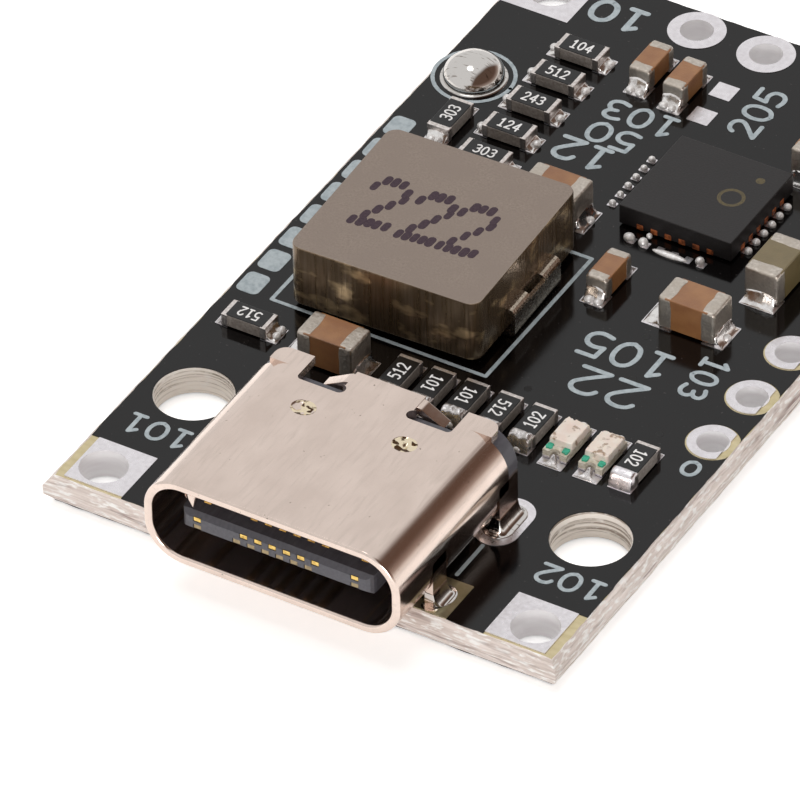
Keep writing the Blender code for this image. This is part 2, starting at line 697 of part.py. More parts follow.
def shell_tube():
    """Make the shell's folded sheet: a rounded outline drawn back and thickened inwards."""
    bm = bmesh.new()
    ring = [bm.verts.new((x, 0.0, z)) for x, z in
            rounded_outline(SHELL_WIDTH, SHELL_HEIGHT, SHELL_RADIUS)]
    edges = [bm.edges.new((ring[i - 1], ring[i])) for i in range(len(ring))]
    drawn = bmesh.ops.extrude_edge_only(bm, edges=edges)["geom"]
    rear = [item for item in drawn if isinstance(item, bmesh.types.BMVert)]
    bmesh.ops.translate(bm, verts=rear, vec=(0.0, SHELL_LENGTH, 0.0))
    bmesh.ops.remove_doubles(bm, verts=bm.verts, dist=WELD_DISTANCE)
    bmesh.ops.recalc_face_normals(bm, faces=bm.faces)
    sheet = bpy.data.meshes.new("sheet")
    bm.to_mesh(sheet)
    bm.free()
    holder = bpy.data.objects.new("sheet", sheet)
    bpy.context.scene.collection.objects.link(holder)
    wall = holder.modifiers.new("wall", "SOLIDIFY")
    wall.thickness = SHELL_WALL
    wall.offset = -1.0
    graph = bpy.context.evaluated_depsgraph_get()
    tube = bpy.data.meshes.new_from_object(holder.evaluated_get(graph))
    bpy.data.objects.remove(holder, do_unlink=True)
    bm = bmesh.new()
    bm.from_mesh(tube)
    rim = [e for e in bm.edges if all(abs(v.co.y) < WELD_DISTANCE for v in e.verts)
           and any(abs(face.normal.y) < 0.5 for face in e.link_faces)]
    bmesh.ops.bevel(bm, geom=rim, offset=SHELL_RIM_ROUND, segments=2, profile=0.5, affect="EDGES")
    return moved(mesh_from(bm, "tube"), on_board(SHELL_CENTRE_X, SHELL_FRONT_Y, SHELL_MIDDLE))


def notch_cut():
    """Return the cutter of the right rear notch, with its relief beside the bent tab."""
    rear = SHELL_REAR_Y + OVERCUT
    front = SHELL_REAR_Y - NOTCH_DEPTH
    relief = RELIEF_WIDTH / 2
    outline = [(NOTCH_OUTER, rear)]
    outline += arc((NOTCH_OUTER - NOTCH_ROUND, front + NOTCH_ROUND), NOTCH_ROUND, 0, -90, 4)
    outline += arc((NOTCH_INNER - RELIEF_REACH + relief, front + relief), relief, 270, 90, 8)
    outline += [(NOTCH_INNER, front + RELIEF_WIDTH), (NOTCH_INNER, rear)]
    return plate("notch", outline, 2 * SHELL_WALL + OVERCUT,
                 on_board(SHELL_CENTRE_X, 0.0, SHELL_TOP))


def bent_tab():
    """Return the right tab, the roof's corner bent down at its root and then straight."""
    steps = 3
    angle = math.radians(TAB_ANGLE)
    centre_z = SHELL_TOP - SHELL_WALL / 2 - TAB_BEND
    width_middle = SHELL_REAR_Y - TAB_FROM_REAR - TAB_WIDTH / 2
    stations = [(-TAB_ROOT, TAB_BEND, 0.0)]
    for step in range(steps + 1):
        turn = angle * step / steps
        stations.append((TAB_BEND * math.sin(turn), TAB_BEND * math.cos(turn), turn))
    blade = TAB_LENGTH - TAB_BEND * angle
    across, down, turn = stations[-1]
    stations.append((across + blade * math.cos(turn), down - blade * math.sin(turn), turn))
    half = Vector((0.0, TAB_WIDTH / 2, 0.0))
    bm = bmesh.new()
    rings = []
    for across, down, turn in stations:
        out = Vector((math.sin(turn), 0.0, math.cos(turn))) * (TAB_GAUGE / 2)
        middle = Vector((NOTCH_INNER + across, width_middle, centre_z + down))
        corners = (middle - half - out, middle + half - out, middle + half + out, middle - half + out)
        rings.append([bm.verts.new(corner) for corner in corners])
    for first, second in zip(rings, rings[1:]):
        for side in range(4):
            bm.faces.new((first[side], first[(side + 1) % 4], second[(side + 1) % 4], second[side]))
    bm.faces.new(rings[0])
    bm.faces.new(rings[-1])
    bmesh.ops.translate(bm, verts=bm.verts, vec=on_board(SHELL_CENTRE_X, 0.0))
    return mesh_from(bm, "tab")


def lip_spur():
    """Return the pointed spur that hangs from the roof's front lip, left of the tongue."""
    root = SHELL_TOP - SHELL_WALL / 2
    tip = SHELL_TOP - SHELL_WALL - SPUR_DEPTH
    right = SPUR_WIDTH / 2
    outline = [(-right, root), (-right, tip + SPUR_DEPTH), (right / 2, tip), (right, root)]
    spur = plate("spur", outline, SPUR_GAUGE)
    spur.transform(Matrix.Rotation(math.radians(90), 4, "X"))
    return moved(spur, on_board(SPUR_X, SHELL_FRONT_Y + SPUR_SETBACK + SPUR_GAUGE / 2))


def shell_leg(leg_y, leg_width):
    """Return the right leg at leg_y, a flat strip with a chamfered tip."""
    top = LEG_ATTACH_HEIGHT
    half = leg_width / 2
    tip = LEG_TIP_CHAMFER
    outline = [(top, -half), (top, half), (-LEG_DEPTH + tip, half), (-LEG_DEPTH, half - tip),
               (-LEG_DEPTH, tip - half), (-LEG_DEPTH + tip, -half)]
    leg = plate("leg", outline, LEG_GAUGE)
    leg.transform(Matrix.Rotation(math.radians(-90), 4, "Y"))
    return moved(leg, on_board(SHELL_CENTRE_X + LEG_X, leg_y))


def leg_window(leg_y, leg_width):
    """Return the opening that a leg leaves in the shell's lower corner."""
    width = leg_width + 2 * LEG_CLEARANCE
    depth = SHELL_RADIUS + OVERCUT
    top = SHELL_LIFT + SHELL_RADIUS
    return box("window", (depth, width, top + OVERCUT),
               on_board(SHELL_CENTRE_X + SHELL_WIDTH / 2 - LEG_WINDOW_INSET + depth / 2, leg_y,
                        (top - OVERCUT) / 2))


def build_shell(material):
    """Make the shell with its rear step, notches, tabs, stake marks, windows and legs."""
    shell = shell_tube()
    depth = SHELL_LENGTH - SIDE_WALL_LENGTH + OVERCUT
    height = SHELL_HEIGHT - ROOF_STEP_BELOW_TOP + OVERCUT
    step = box("rear_step", (SHELL_WIDTH + OVERCUT, depth, height),
               on_board(SHELL_CENTRE_X, SHELL_FRONT_Y + SIDE_WALL_LENGTH + depth / 2,
                        SHELL_TOP - ROOF_STEP_BELOW_TOP - height / 2))
    shell = combined(shell, step, "DIFFERENCE")
    right_cuts = [notch_cut()]
    right_cuts.append(box("stake", (STAKE_LENGTH, STAKE_WIDTH, 2 * STAKE_DEPTH),
                          on_board(SHELL_CENTRE_X + STAKE_X, SHELL_FRONT_Y + STAKE_FROM_FRONT,
                                   SHELL_TOP)))
    right_adds = [bent_tab()]
    for leg_y, leg_width in ((FRONT_LEG_Y, FRONT_LEG_WIDTH), (REAR_LEG_Y, REAR_LEG_WIDTH)):
        right_cuts.append(leg_window(leg_y, leg_width))
        right_adds.append(shell_leg(leg_y, leg_width))
    for operation, pieces in (("DIFFERENCE", right_cuts), ("UNION", right_adds)):
        for piece in pieces:
            local = moved(piece, (-SHELL_CENTRE_X, 0.0, 0.0))
            for half in (local, mirrored(local)):
                shell = combined(shell, moved(half, (SHELL_CENTRE_X, 0.0, 0.0)), operation)
    shell = combined(shell, lip_spur(), "UNION")
    return add_part("usb_shell", shell, material, crease=50.0)


def build_insulator(material):
    """Make the insulator: a block that fills the shell's rear, and the tongue with its grooves."""
    gap = SHELL_WALL + INSULATOR_CLEARANCE
    outline = rounded_outline(SHELL_WIDTH - 2 * gap, SHELL_HEIGHT - 2 * gap, SHELL_RADIUS - gap, 5)
    block = plate("block", outline, BLOCK_REAR_Y - BLOCK_FRONT_Y)
    block.transform(Matrix.Rotation(math.radians(90), 4, "X"))
    body = moved(block, on_board(SHELL_CENTRE_X, (BLOCK_FRONT_Y + BLOCK_REAR_Y) / 2, SHELL_MIDDLE))
    root = box("root", (TONGUE_WIDTH, TONGUE_ROOT_LENGTH + OVERCUT, TONGUE_ROOT_THICKNESS),
               on_board(SHELL_CENTRE_X, BLOCK_FRONT_Y - TONGUE_ROOT_LENGTH / 2 + OVERCUT / 2,
                        SHELL_MIDDLE))
    body = combined(body, root, "UNION")
    body = combined(body, tongue_blank(), "UNION")
    for row, tongue_x, tail_x in tail_places():
        groove = strip("groove", contact_route(row, tongue_x, tail_x, GROOVE_RUN_OUT),
                       CONTACT_WIDTH + 2 * CONTACT_CLEARANCE,
                       CONTACT_GAUGE + 2 * CONTACT_CLEARANCE)
        body = combined(body, groove, "DIFFERENCE")
    return add_part("usb_insulator", body, material)


def tongue_blank():
    """Return the tongue before its grooves: round front corners and a wedge nose."""
    length = BLOCK_FRONT_Y - TONGUE_TIP_Y + OVERCUT
    half = TONGUE_WIDTH / 2
    corner = TONGUE_CORNER
    outline = [(half, length), (-half, length)]
    outline += arc((corner - half, corner), corner, 180, 270, 4)
    outline += arc((half - corner, corner), corner, 270, 360, 4)
    tongue = plate("tongue", outline, TONGUE_THICKNESS)
    slope = math.atan2(TONGUE_NOSE_DROP, TONGUE_NOSE_LENGTH)
    reach = 4 * TONGUE_NOSE_LENGTH
    for side in (-1, 1):
        wedge = box("wedge", (TONGUE_WIDTH + OVERCUT, reach, TONGUE_THICKNESS),
                    (0.0, 0.0, side * TONGUE_THICKNESS / 2))
        wedge.transform(Matrix.Translation((0.0, TONGUE_NOSE_LENGTH, side * TONGUE_THICKNESS / 2))
                        @ Matrix.Rotation(side * slope, 4, "X"))
        tongue = combined(tongue, wedge, "DIFFERENCE")
    return moved(tongue, on_board(SHELL_CENTRE_X, TONGUE_TIP_Y, SHELL_MIDDLE))


def build_contacts(material):
    """Make the contacts of both rows, each a strip with a jog and a foot."""
    counts = {1: 0, -1: 0}
    for row, tongue_x, tail_x in tail_places():
        counts[row] += 1
        label = "upper" if row > 0 else "lower"
        name = f"usb_contact_{label}_{counts[row]}"
        contact = strip(name, contact_route(row, tongue_x, tail_x), CONTACT_WIDTH, CONTACT_GAUGE)
        add_part(name, contact, material)


def terminal_mesh():
    """Return the right terminal round the inductor's side: root, side leaf and foot."""
    outer = INDUCTOR_WIDTH / 2 + TERMINAL_PROUD
    inner = outer - TERMINAL_GAUGE
    root = INDUCTOR_WIDTH / 2 - TERMINAL_ROOT
    foot = INDUCTOR_WIDTH / 2 - TERMINAL_FOOT
    low = SEAT_HEIGHT
    high = TERMINAL_TOP
    bend = TERMINAL_BEND
    outline = [(root, high), (root, high - TERMINAL_GAUGE), (inner, high - TERMINAL_GAUGE),
               (inner, low + TERMINAL_GAUGE), (foot, low + TERMINAL_GAUGE), (foot, low)]
    outline += arc((outer - bend, low + bend), bend, -90, 0, 3)
    outline += arc((outer - bend, high - bend), bend, 0, 90, 3)
    leaf = plate("terminal", outline, TERMINAL_WIDTH)
    leaf.transform(Matrix.Rotation(math.radians(90), 4, "X"))
    depth = TERMINAL_PROUD + OVERCUT
    notch = box("terminal_notch", (depth, TERMINAL_NOTCH_WIDTH, 2 * TERMINAL_NOTCH_DEPTH),
                (INDUCTOR_WIDTH / 2 + TERMINAL_FIT + depth / 2, 0.0, high))
    return combined(leaf, notch, "DIFFERENCE")


def terminal_pocket():
    """Return the pocket that the right terminal's root fills in the core."""
    size = (TERMINAL_ROOT + OVERCUT, TERMINAL_WIDTH, TERMINAL_GAUGE)
    fit = 2 * TERMINAL_FIT
    return box("pocket", [side + fit for side in size],
               (INDUCTOR_WIDTH / 2 - TERMINAL_ROOT + size[0] / 2, 0.0,
                TERMINAL_TOP - TERMINAL_GAUGE / 2))


def build_inductor(core_material, terminal_material):
    """Make the pressed core and its two wrapped terminals."""
    bottom = SEAT_HEIGHT + TERMINAL_GAUGE + SOLDER_FILM
    height = INDUCTOR_TOP - bottom
    core = rounded_block("core", (INDUCTOR_WIDTH, INDUCTOR_LENGTH, height),
                         INDUCTOR_CORNER, INDUCTOR_EDGE)
    core = moved(core, (0.0, 0.0, bottom + height / 2))
    pocket = terminal_pocket()
    for cut in (pocket, mirrored(pocket)):
        core = combined(core, cut, "DIFFERENCE")
    place = on_board(INDUCTOR_X, INDUCTOR_Y)
    add_part("inductor_core", core, core_material, place, INDUCTOR_TURN)
    terminal = terminal_mesh()
    add_part("inductor_terminal_right", terminal, terminal_material, place, INDUCTOR_TURN)
    add_part("inductor_terminal_left", moved(terminal, turn=180), terminal_material,
             place, INDUCTOR_TURN)


def build_chip(material):
    """Make the charger chip with its leads along four sides and the dimple at lead one."""
    body = rounded_block("chip", (CHIP_SIZE, CHIP_SIZE, CHIP_HEIGHT), CHIP_EDGE, segments=1)
    body = moved(body, (0.0, 0.0, CHIP_HEIGHT / 2))
    for quarter in range(4):
        for index in range(CHIP_LEADS_A_SIDE):
            across = (index - (CHIP_LEADS_A_SIDE - 1) / 2) * CHIP_LEAD_PITCH
            lead = box("lead", (CHIP_LEAD_LENGTH, CHIP_LEAD_WIDTH, CHIP_LEAD_HEIGHT),
                       (CHIP_SIZE / 2 - CHIP_LEAD_LENGTH / 2 + CHIP_LEAD_PROUD, across,
                        CHIP_LEAD_HEIGHT / 2 - CHIP_LEAD_DROP))
            body = combined(body, moved(lead, turn=90 * quarter), "UNION")
    corner = CHIP_SIZE / 2 - CHIP_DOT_INSET
    body = combined(body, cylinder("dot", CHIP_DOT_DIAMETER, 2 * CHIP_DOT_DEPTH,
                                   (corner, corner, CHIP_HEIGHT), 20), "DIFFERENCE")
    return add_part("charger_chip", body, material, on_board(CHIP_X, CHIP_Y, SEAT_HEIGHT))


def capped_mesh(name, length, width, height, cap, inset):
    """Return a chip part: a body between two end caps that stand out from it by inset."""
    inner = (length - 2 * cap + 2 * inset, width - 2 * inset, height - 2 * inset)
    body = box(name, inner, (0.0, 0.0, height / 2))
    for side in (-1, 1):
        end = box("cap", (cap, width, height), (side * (length - cap) / 2, 0.0, height / 2),
                  CHIP_PART_EDGE)
        body = combined(body, end, "UNION")
    return body


def resistor_mesh():
    """Return a resistor: a flat ceramic slab, its end caps and its raised black coat."""
    slab = capped_mesh("resistor", RESISTOR_LENGTH, RESISTOR_WIDTH, RESISTOR_HEIGHT - RESISTOR_COAT,
                       RESISTOR_CAP, CAP_PROUD / 2)
    coat = box("coat", (RESISTOR_LENGTH - 2 * RESISTOR_CAP - CAP_PROUD, RESISTOR_WIDTH - 2 * CAP_PROUD,
                        2 * RESISTOR_COAT),
               (0.0, 0.0, RESISTOR_HEIGHT - RESISTOR_COAT))
    return combined(slab, coat, "UNION")


def led_mesh():
    """Return a lamp: a base with end caps and a tapered lens on top of it."""
    base = capped_mesh("led", LED_LENGTH, LED_WIDTH, LED_BASE_HEIGHT, RESISTOR_CAP, CAP_PROUD)
    bm = bmesh.new()
    height = LED_HEIGHT - LED_BASE_HEIGHT + CAP_PROUD
    lens_width = LED_WIDTH - 2 * CAP_PROUD
    bmesh.ops.create_cube(bm, size=1.0,
                          matrix=Matrix.Diagonal((LED_LENS_LENGTH, lens_width, height, 1.0)))
    for vert in bm.verts:
        if vert.co.z > 0.0:
            vert.co.x -= math.copysign(LED_LENS_TAPER, vert.co.x)
            vert.co.y -= math.copysign(LED_LENS_TAPER / 2, vert.co.y)
    bmesh.ops.translate(bm, verts=bm.verts, vec=(0.0, 0.0, LED_HEIGHT - height / 2))
    return combined(base, mesh_from(bm, "lens"), "UNION")


def build_chip_parts(materials):
    """Place every resistor, lamp and capacitor on its lands."""
    resistor = resistor_mesh()
    for name, x, y, turn in row_places():
        add_part(name, resistor, materials["resistor_black"], on_board(x, y, SEAT_HEIGHT), turn)
    led = led_mesh()
    for name, x, y, turn in led_places():
        add_part(name, led, materials["cream_lens"], on_board(x, y, SEAT_HEIGHT), turn)
    for name, x, y, turn, colour in capacitor_places():
        capacitor = capped_mesh(name, CAPACITOR_LENGTH, CAPACITOR_WIDTH, CAPACITOR_HEIGHT,
                                CAPACITOR_CAP, CAP_PROUD)
        add_part(name, capacitor, materials[colour], on_board(x, y, SEAT_HEIGHT), turn)
    small = capped_mesh("small_capacitor", SMALL_CAPACITOR_LENGTH, SMALL_CAPACITOR_WIDTH,
                        SMALL_CAPACITOR_HEIGHT, SMALL_CAPACITOR_CAP, CAP_PROUD)
    for name, x, y, turn in small_capacitor_places():
        add_part(name, small, materials["brown_ceramic"], on_board(x, y, SEAT_HEIGHT), turn)


def build_mound(material):
    """Make the solder mound, a turned dome that meets the board in a thin foot."""
    bm = bmesh.new()
    radius = MOUND_DIAMETER / 2
    steps = 7
    profile = [(radius * math.sin(math.pi / 2 * step / steps),
                MOUND_HEIGHT * math.cos(math.pi / 2 * step / steps)) for step in range(steps + 1)]
    points = [bm.verts.new((x, 0.0, z)) for x, z in profile + [(0.0, 0.0)]]
    for first, second in zip(points, points[1:]):
        bm.edges.new((first, second))
    sheet = bpy.data.meshes.new("mound")
    bm.to_mesh(sheet)
    bm.free()
    holder = bpy.data.objects.new("mound", sheet)
    bpy.context.scene.collection.objects.link(holder)
    turning = holder.modifiers.new("turned", "SCREW")
    turning.steps = MOUND_STEPS
    turning.render_steps = MOUND_STEPS
    turning.use_merge_vertices = True
    turning.merge_threshold = WELD_DISTANCE
    graph = bpy.context.evaluated_depsgraph_get()
    dome = bpy.data.meshes.new_from_object(holder.evaluated_get(graph))
    bpy.data.objects.remove(holder, do_unlink=True)
    return add_part("solder_mound", dome, material, on_board(MOUND_X, MOUND_Y, SOLDER_FILM))


def build_module():
    """Build every part of the module under its empty."""
    clear_scene()
    collection = bpy.data.collections.new("charger_module")
    bpy.context.scene.collection.children.link(collection)
    frame = bpy.data.objects.new("charger_module", None)
    frame.scale = (METRES_PER_MM, METRES_PER_MM, METRES_PER_MM)
    collection.objects.link(frame)
    materials = {
        "solder_mask": finish("solder_mask", SOLDER_MASK, 0.3),
        "nickel": finish("nickel", NICKEL, 0.25, 1.0),
        "black_plastic": finish("black_plastic", BLACK_PLASTIC, 0.5),
        "gold": finish("gold", GOLD, 0.25, 1.0),
        "powder_iron": finish("powder_iron", POWDER_IRON, 0.6),
        "tin": finish("tin", TIN, 0.3, 1.0),
        "chip_epoxy": finish("chip_epoxy", CHIP_EPOXY, 0.6),
        "resistor_black": finish("resistor_black", RESISTOR_BLACK, 0.4),
        "brown_ceramic": finish("brown_ceramic", BROWN_CERAMIC, 0.35),
        "olive_ceramic": finish("olive_ceramic", OLIVE_CERAMIC, 0.35),
        "cream_lens": finish("cream_lens", CREAM_LENS, 0.3),
    }
    build_board(materials["solder_mask"])
    build_shell(materials["nickel"])
    build_insulator(materials["black_plastic"])
    build_contacts(materials["gold"])
    build_inductor(materials["powder_iron"], materials["tin"])
    build_chip(materials["chip_epoxy"])
    build_chip_parts(materials)
    build_mound(materials["tin"])


build_module()
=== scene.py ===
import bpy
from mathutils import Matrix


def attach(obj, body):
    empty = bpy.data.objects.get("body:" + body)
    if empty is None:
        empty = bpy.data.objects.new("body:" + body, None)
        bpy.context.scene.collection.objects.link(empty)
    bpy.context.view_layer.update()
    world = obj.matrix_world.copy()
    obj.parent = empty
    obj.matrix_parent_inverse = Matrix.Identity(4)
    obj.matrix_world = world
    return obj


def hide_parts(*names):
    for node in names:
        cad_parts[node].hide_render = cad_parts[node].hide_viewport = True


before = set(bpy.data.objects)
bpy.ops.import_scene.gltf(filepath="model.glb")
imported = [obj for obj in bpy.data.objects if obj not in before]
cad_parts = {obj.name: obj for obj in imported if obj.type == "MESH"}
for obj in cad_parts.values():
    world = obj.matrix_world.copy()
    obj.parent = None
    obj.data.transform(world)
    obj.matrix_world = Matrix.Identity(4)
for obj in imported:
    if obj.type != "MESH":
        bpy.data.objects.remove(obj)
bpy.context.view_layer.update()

# Lithium battery charger module, dressed for a studio picture.
# Sizes are in millimetres. Places on the board are measured from its centre line and from
# the front edge of its upper face, as a layout drawing of the board gives them.

import logging
import math
import random
from collections.abc import Sequence
from dataclasses import dataclass
from enum import Enum
from functools import lru_cache

import bmesh
import bpy
from mathutils import Matrix, Vector, noise

LOG = logging.getLogger("charger_module")
# Metres in a millimetre.
METRES = 0.001
# Front edge and height of the board's upper face in the row frame.
TOP_FRONT_Y = -14.87
BOARD_TOP = 1.0
# Heights of the parts' undersides and of their solder's feet over that face.
SEAT = 0.07
FOOT = 0.03
# Points nearer than this become one.
WELD = 0.0001
# Straight pieces in a full circle.
ROUND = 48
# How far red, green and blue light spreads in a milky body, in metres.
MILK_REACH = (0.0004, 0.0003, 0.0002)

Point = tuple[float, float]
Outline = list[Point]
Triple = tuple[float, float, float]
Shape = bmesh.types.BMesh


def linear(code: str) -> tuple[float, float, float, float]:
    """Turns an sRGB hex colour to linear light.

    Args:
        code: Six hex digits, with or without a leading hash.

    Returns:
        Red, green, blue and an alpha of one.
    """
    digits = code.lstrip("#")
    levels = [int(digits[i:i + 2], 16) / 255 for i in (0, 2, 4)]
    light = [v / 12.92 if v <= 0.04045 else ((v + 0.055) / 1.055) ** 2.4 for v in levels]
    return (light[0], light[1], light[2], 1.0)


def add(tree: bpy.types.NodeTree, kind: str, settings: dict | None = None,
        links: dict | None = None) -> bpy.types.Node:
    """Adds a node with its settings and links.

    Args:
        tree: The material's or world's nodes.
        kind: The node's type name.
        settings: Lower-case names are properties, other names and numbers are sockets.
        links: Socket names or numbers, and the outputs that feed them.

    Returns:
        The new node.
    """
    node = tree.nodes.new(kind)
    for key, value in (settings or {}).items():
        if isinstance(key, str) and key[0].islower():
            setattr(node, key, value)
        else:
            node.inputs[key].default_value = value
    for key, source in (links or {}).items():
        tree.links.new(source, node.inputs[key])
    return node


@dataclass(frozen=True)
class Layer:
    """One kind of mark on a surface: its real size and what it changes.

    The size is the marks' length, in all directions or along each axis. They start at the noise
    level low and are full at high. Detail counts the finer marks in them. Depth is their height.
    """

    size: float | Triple
    colour: str = ""
    roughness: float | None = None
    depth: float = 0.0
    low: float = 0.3
    high: float = 0.7
    detail: float = 3.0

    def drawn(self, tree: bpy.types.NodeTree, place: bpy.types.NodeSocket) -> bpy.types.NodeSocket:
        """Draws the marks as noise of their real size.

        Args:
            tree: The material's nodes.
            place: The point on the surface, in millimetres.

        Returns:
            How full the marks are at that point, from 0 to 1.
        """
        sides = self.size if isinstance(self.size, tuple) else (self.size,) * 3
        sized = add(tree, "ShaderNodeMapping", {"Scale": [1 / side for side in sides]},
                    {"Vector": place})
        grain = add(tree, "ShaderNodeTexNoise", {"Scale": 1.0, "Detail": self.detail},
                    {"Vector": sized.outputs["Vector"]})
        spread = add(tree, "ShaderNodeMapRange", {"From Min": self.low, "From Max": self.high},
                     {"Value": grain.outputs["Fac"]})
        return spread.outputs["Result"]


@dataclass(frozen=True)
class Finish:
    """A surface of one real material: the values that it starts from and its marks.

    Milk is how far light spreads inside it. Bend is its index of refraction.
    """

    name: str
    colour: str
    roughness: float
    metallic: float = 0.0
    layers: tuple[Layer, ...] = ()
    milk: float = 0.0
    bend: float = 1.5

    @lru_cache(maxsize=None)
    def material(self) -> bpy.types.Material:
        """Makes the finish's material when it is first asked for.

        Returns:
            The material.
        """
        made = bpy.data.materials.new(self.name)
        made.use_nodes = True
        made.diffuse_color = linear(self.colour)
        tree = made.node_tree
        shader = tree.nodes["Principled BSDF"]
        values = {"Base Color": linear(self.colour), "Roughness": self.roughness,
                  "Metallic": self.metallic, "IOR": self.bend}
        if self.milk > 0.0:
            values |= {"Subsurface Weight": self.milk, "Subsurface Radius": MILK_REACH}
        for socket, value in values.items():
            shader.inputs[socket].default_value = value
        where = add(tree, "ShaderNodeTexCoord")
        place = add(tree, "ShaderNodeVectorMath", {"operation": "SCALE", "Scale": 1 / METRES},
                    {0: where.outputs["Object"]})
        chains: dict[str, bpy.types.NodeSocket] = {}
        for layer in self.layers:
            marks = layer.drawn(tree, place.outputs["Vector"])
            changes = []
            if layer.colour:
                changes.append(("Base Color", "RGBA", 6, 2, linear(self.colour),
                                linear(layer.colour)))
            if layer.roughness is not None:
                changes.append(("Roughness", "FLOAT", 2, 0, self.roughness, layer.roughness))
            for socket, kind, entry, out, plain, marked in changes:
                before = {entry: chains[socket]} if socket in chains else {}
                mixer = add(tree, "ShaderNodeMix",
                            {"data_type": kind, entry: plain, entry + 1: marked},
                            {0: marks, **before})
                chains[socket] = mixer.outputs[out]
            if layer.depth > 0.0:
                before = {"Normal": chains["Normal"]} if "Normal" in chains else {}
                bump = add(tree, "ShaderNodeBump",
                           {"Strength": 0.6, "Distance": layer.depth * METRES},
                           {"Height": marks, **before})
                chains["Normal"] = bump.outputs["Normal"]
        for socket, source in chains.items():
            tree.links.new(source, shader.inputs[socket])
        return made


# Black epoxy ink, screened and oven cured: a glossy coat that mirrors the parts on it, with
# the ink's slow flow, a little dust and cloudier patches.
MASK = Finish("black_epoxy_ink_screened", "#070505", 0.07, bend=1.42, layers=(
    Layer(1.6, depth=0.004),
    Layer(0.1, "#3c3838", low=0.74, high=0.8, detail=1.0),
    Layer((3.0, 4.5, 3.0), roughness=0.15)))
# The same ink sunk in a small hole: matte, and a deeper black than the mask as painted shade in
# the hole.
VIA_PAINTED_SHADE = Finish("black_epoxy_ink_sunk_painted_shade", "#040303", 0.5, layers=(
    Layer(0.1, "#0a0808", depth=0.004),))
# White legend ink, screened: matte, thin in patches and blue-grey over the black mask.
LEGEND = Finish("white_legend_ink_screened", "#b6c0c5", 0.55, layers=(
    Layer(0.16, "#98a4aa", depth=0.008, low=0.4, high=0.75),))
# Woven glass in epoxy resin, pressed: a tan sheet with 0.5 mm threads inside.
LAMINATE = Finish("glass_epoxy_laminate_pressed", "#c6b88e", 0.42, layers=(
    Layer((0.5, 0.22, 0.5), "#d6c9a4", depth=0.01),))
# Laminate cut by a scoring wheel: crushed glass bundles in pale streaks along the edge.
SCORED = Finish("glass_epoxy_laminate_scored", "#f4e9e3", 0.62, layers=(
    Layer((2.6, 2.6, 0.06), "#cfc0b8", depth=0.04, detail=4.0),
    Layer((0.4, 0.4, 0.08), "#fcf9f6", low=0.5, high=0.64),
    Layer((1.6, 1.6, 0.12), "#9f8a84", low=0.56, high=0.72)))
# Laminate cut by a drill: stacked plies that show as pale and brown rings in the hole.
DRILLED = Finish("glass_epoxy_laminate_drilled", "#fdf6ee", 0.5, layers=(
    Layer((3.5, 3.5, 0.09), "#9c8d80", depth=0.03, low=0.5, high=0.66, detail=2.0),
    Layer((0.3, 0.3, 0.1), "#fbf6f0", low=0.5, high=0.7)))
# Copper lands levelled with tin by hot air: a pale soft mirror with slight ripples.
TINNED = Finish("copper_tinned_hot_air_levelled", "#f4f0f3", 0.26, 1.0, (
    Layer(0.5, depth=0.008),
    Layer(0.14, "#e6e1e4", 0.4, low=0.35, high=0.75)))
# Tin solder, melted and frozen: bright, wet-looking and slightly wrinkled.
SOLDER = Finish("tin_solder_reflowed", "#eeebe9", 0.2, 1.0, (
    Layer(0.2, depth=0.008, detail=2.0),
    Layer(0.3, "#c6c0bc", 0.34, low=0.45, high=0.75)))
# Solder that stood up in beads, with a painted highlight: a half-diffuse white that makes each
# show as one white dot.
BEAD_PAINTED_HIGHLIGHT = Finish("tin_solder_bead_painted_highlight", "#fbf9f8", 0.34, 0.4, (
    Layer(0.1, "#dcd8d6", depth=0.004),))
# Solder that froze slowly on the resistors' ends: crumpled, greyer, in dull crystals.
CRUMPLED = Finish("tin_solder_crystallised", "#dedada", 0.22, 0.86, (
    Layer(0.14, depth=0.015, detail=2.0),
    Layer(0.22, "#b5afab", 0.32, low=0.4, high=0.66)))
# Tin solder that stood as a wide pool: a smooth dark mirror with a few flow streaks.
POOL = Finish("tin_solder_pooled", "#d6d2ce", 0.09, 1.0, (
    Layer(0.7, depth=0.015, detail=1.0),
    Layer((0.5, 0.08, 0.3), "#8f867e", low=0.6, high=0.7, detail=2.0)))
# Tinned land under old flux: olive-tan and half shiny, as the socket's front lands are.
FLUXED = Finish("copper_tinned_flux_stained", "#8f8768", 0.3, 0.85, (
    Layer(0.6, "#aaa286", depth=0.01),))
# Tin in a plated hole, drawn as a white non-metal: a painted reflection of the light that the tin
# mirrors from both ends of the hole.
BARREL_PAINTED_REFLECTION = Finish("copper_tinned_hole_plated_painted_reflection", "#fdfcfd", 0.5, 0.0, (
    Layer((1.5, 1.5, 0.2), "#f2eff1", depth=0.01),))
# Steel sheet, drawn and nickel plated: a warm soft mirror, faintly clouded, with specks.
NICKEL = Finish("steel_nickel_plated_drawn", "#ead8cd", 0.16, 1.0, (
    Layer((0.9, 1.3, 0.9), "#dfcdc2", depth=0.002),
    Layer((0.14, 1.1, 0.14), "#dccbc0", 0.22, low=0.5, high=0.8, detail=2.0),
    Layer(0.12, "#a3968a", low=0.765, high=0.8, detail=1.0)))
# Nickelled steel torn by a punch: bright golden facets, with painted shade darkening the cracks
# between them.
PUNCHED = Finish("steel_nickel_plated_punched", "#f2e2c4", 0.16, 1.0, (
    Layer((0.24, 0.18, 0.24), "#4d3622", depth=0.02, low=0.5, high=0.56, detail=1.0),))
# Glass-filled liquid crystal polymer, moulded: slate grey, satin, with fine flow lines.
POLYMER = Finish("liquid_crystal_polymer_moulded", "#4b4a50", 0.4, layers=(
    Layer((0.1, 0.6, 0.1), "#59585f", depth=0.006),))
# Copper alloy strip, stamped and gold plated: yellow and smooth, a little worn.
GOLD = Finish("copper_strip_gold_plated", "#ecca78", 0.2, 1.0, (
    Layer((0.15, 0.3, 0.15), "#b8934e", depth=0.003, low=0.45, high=0.75),))
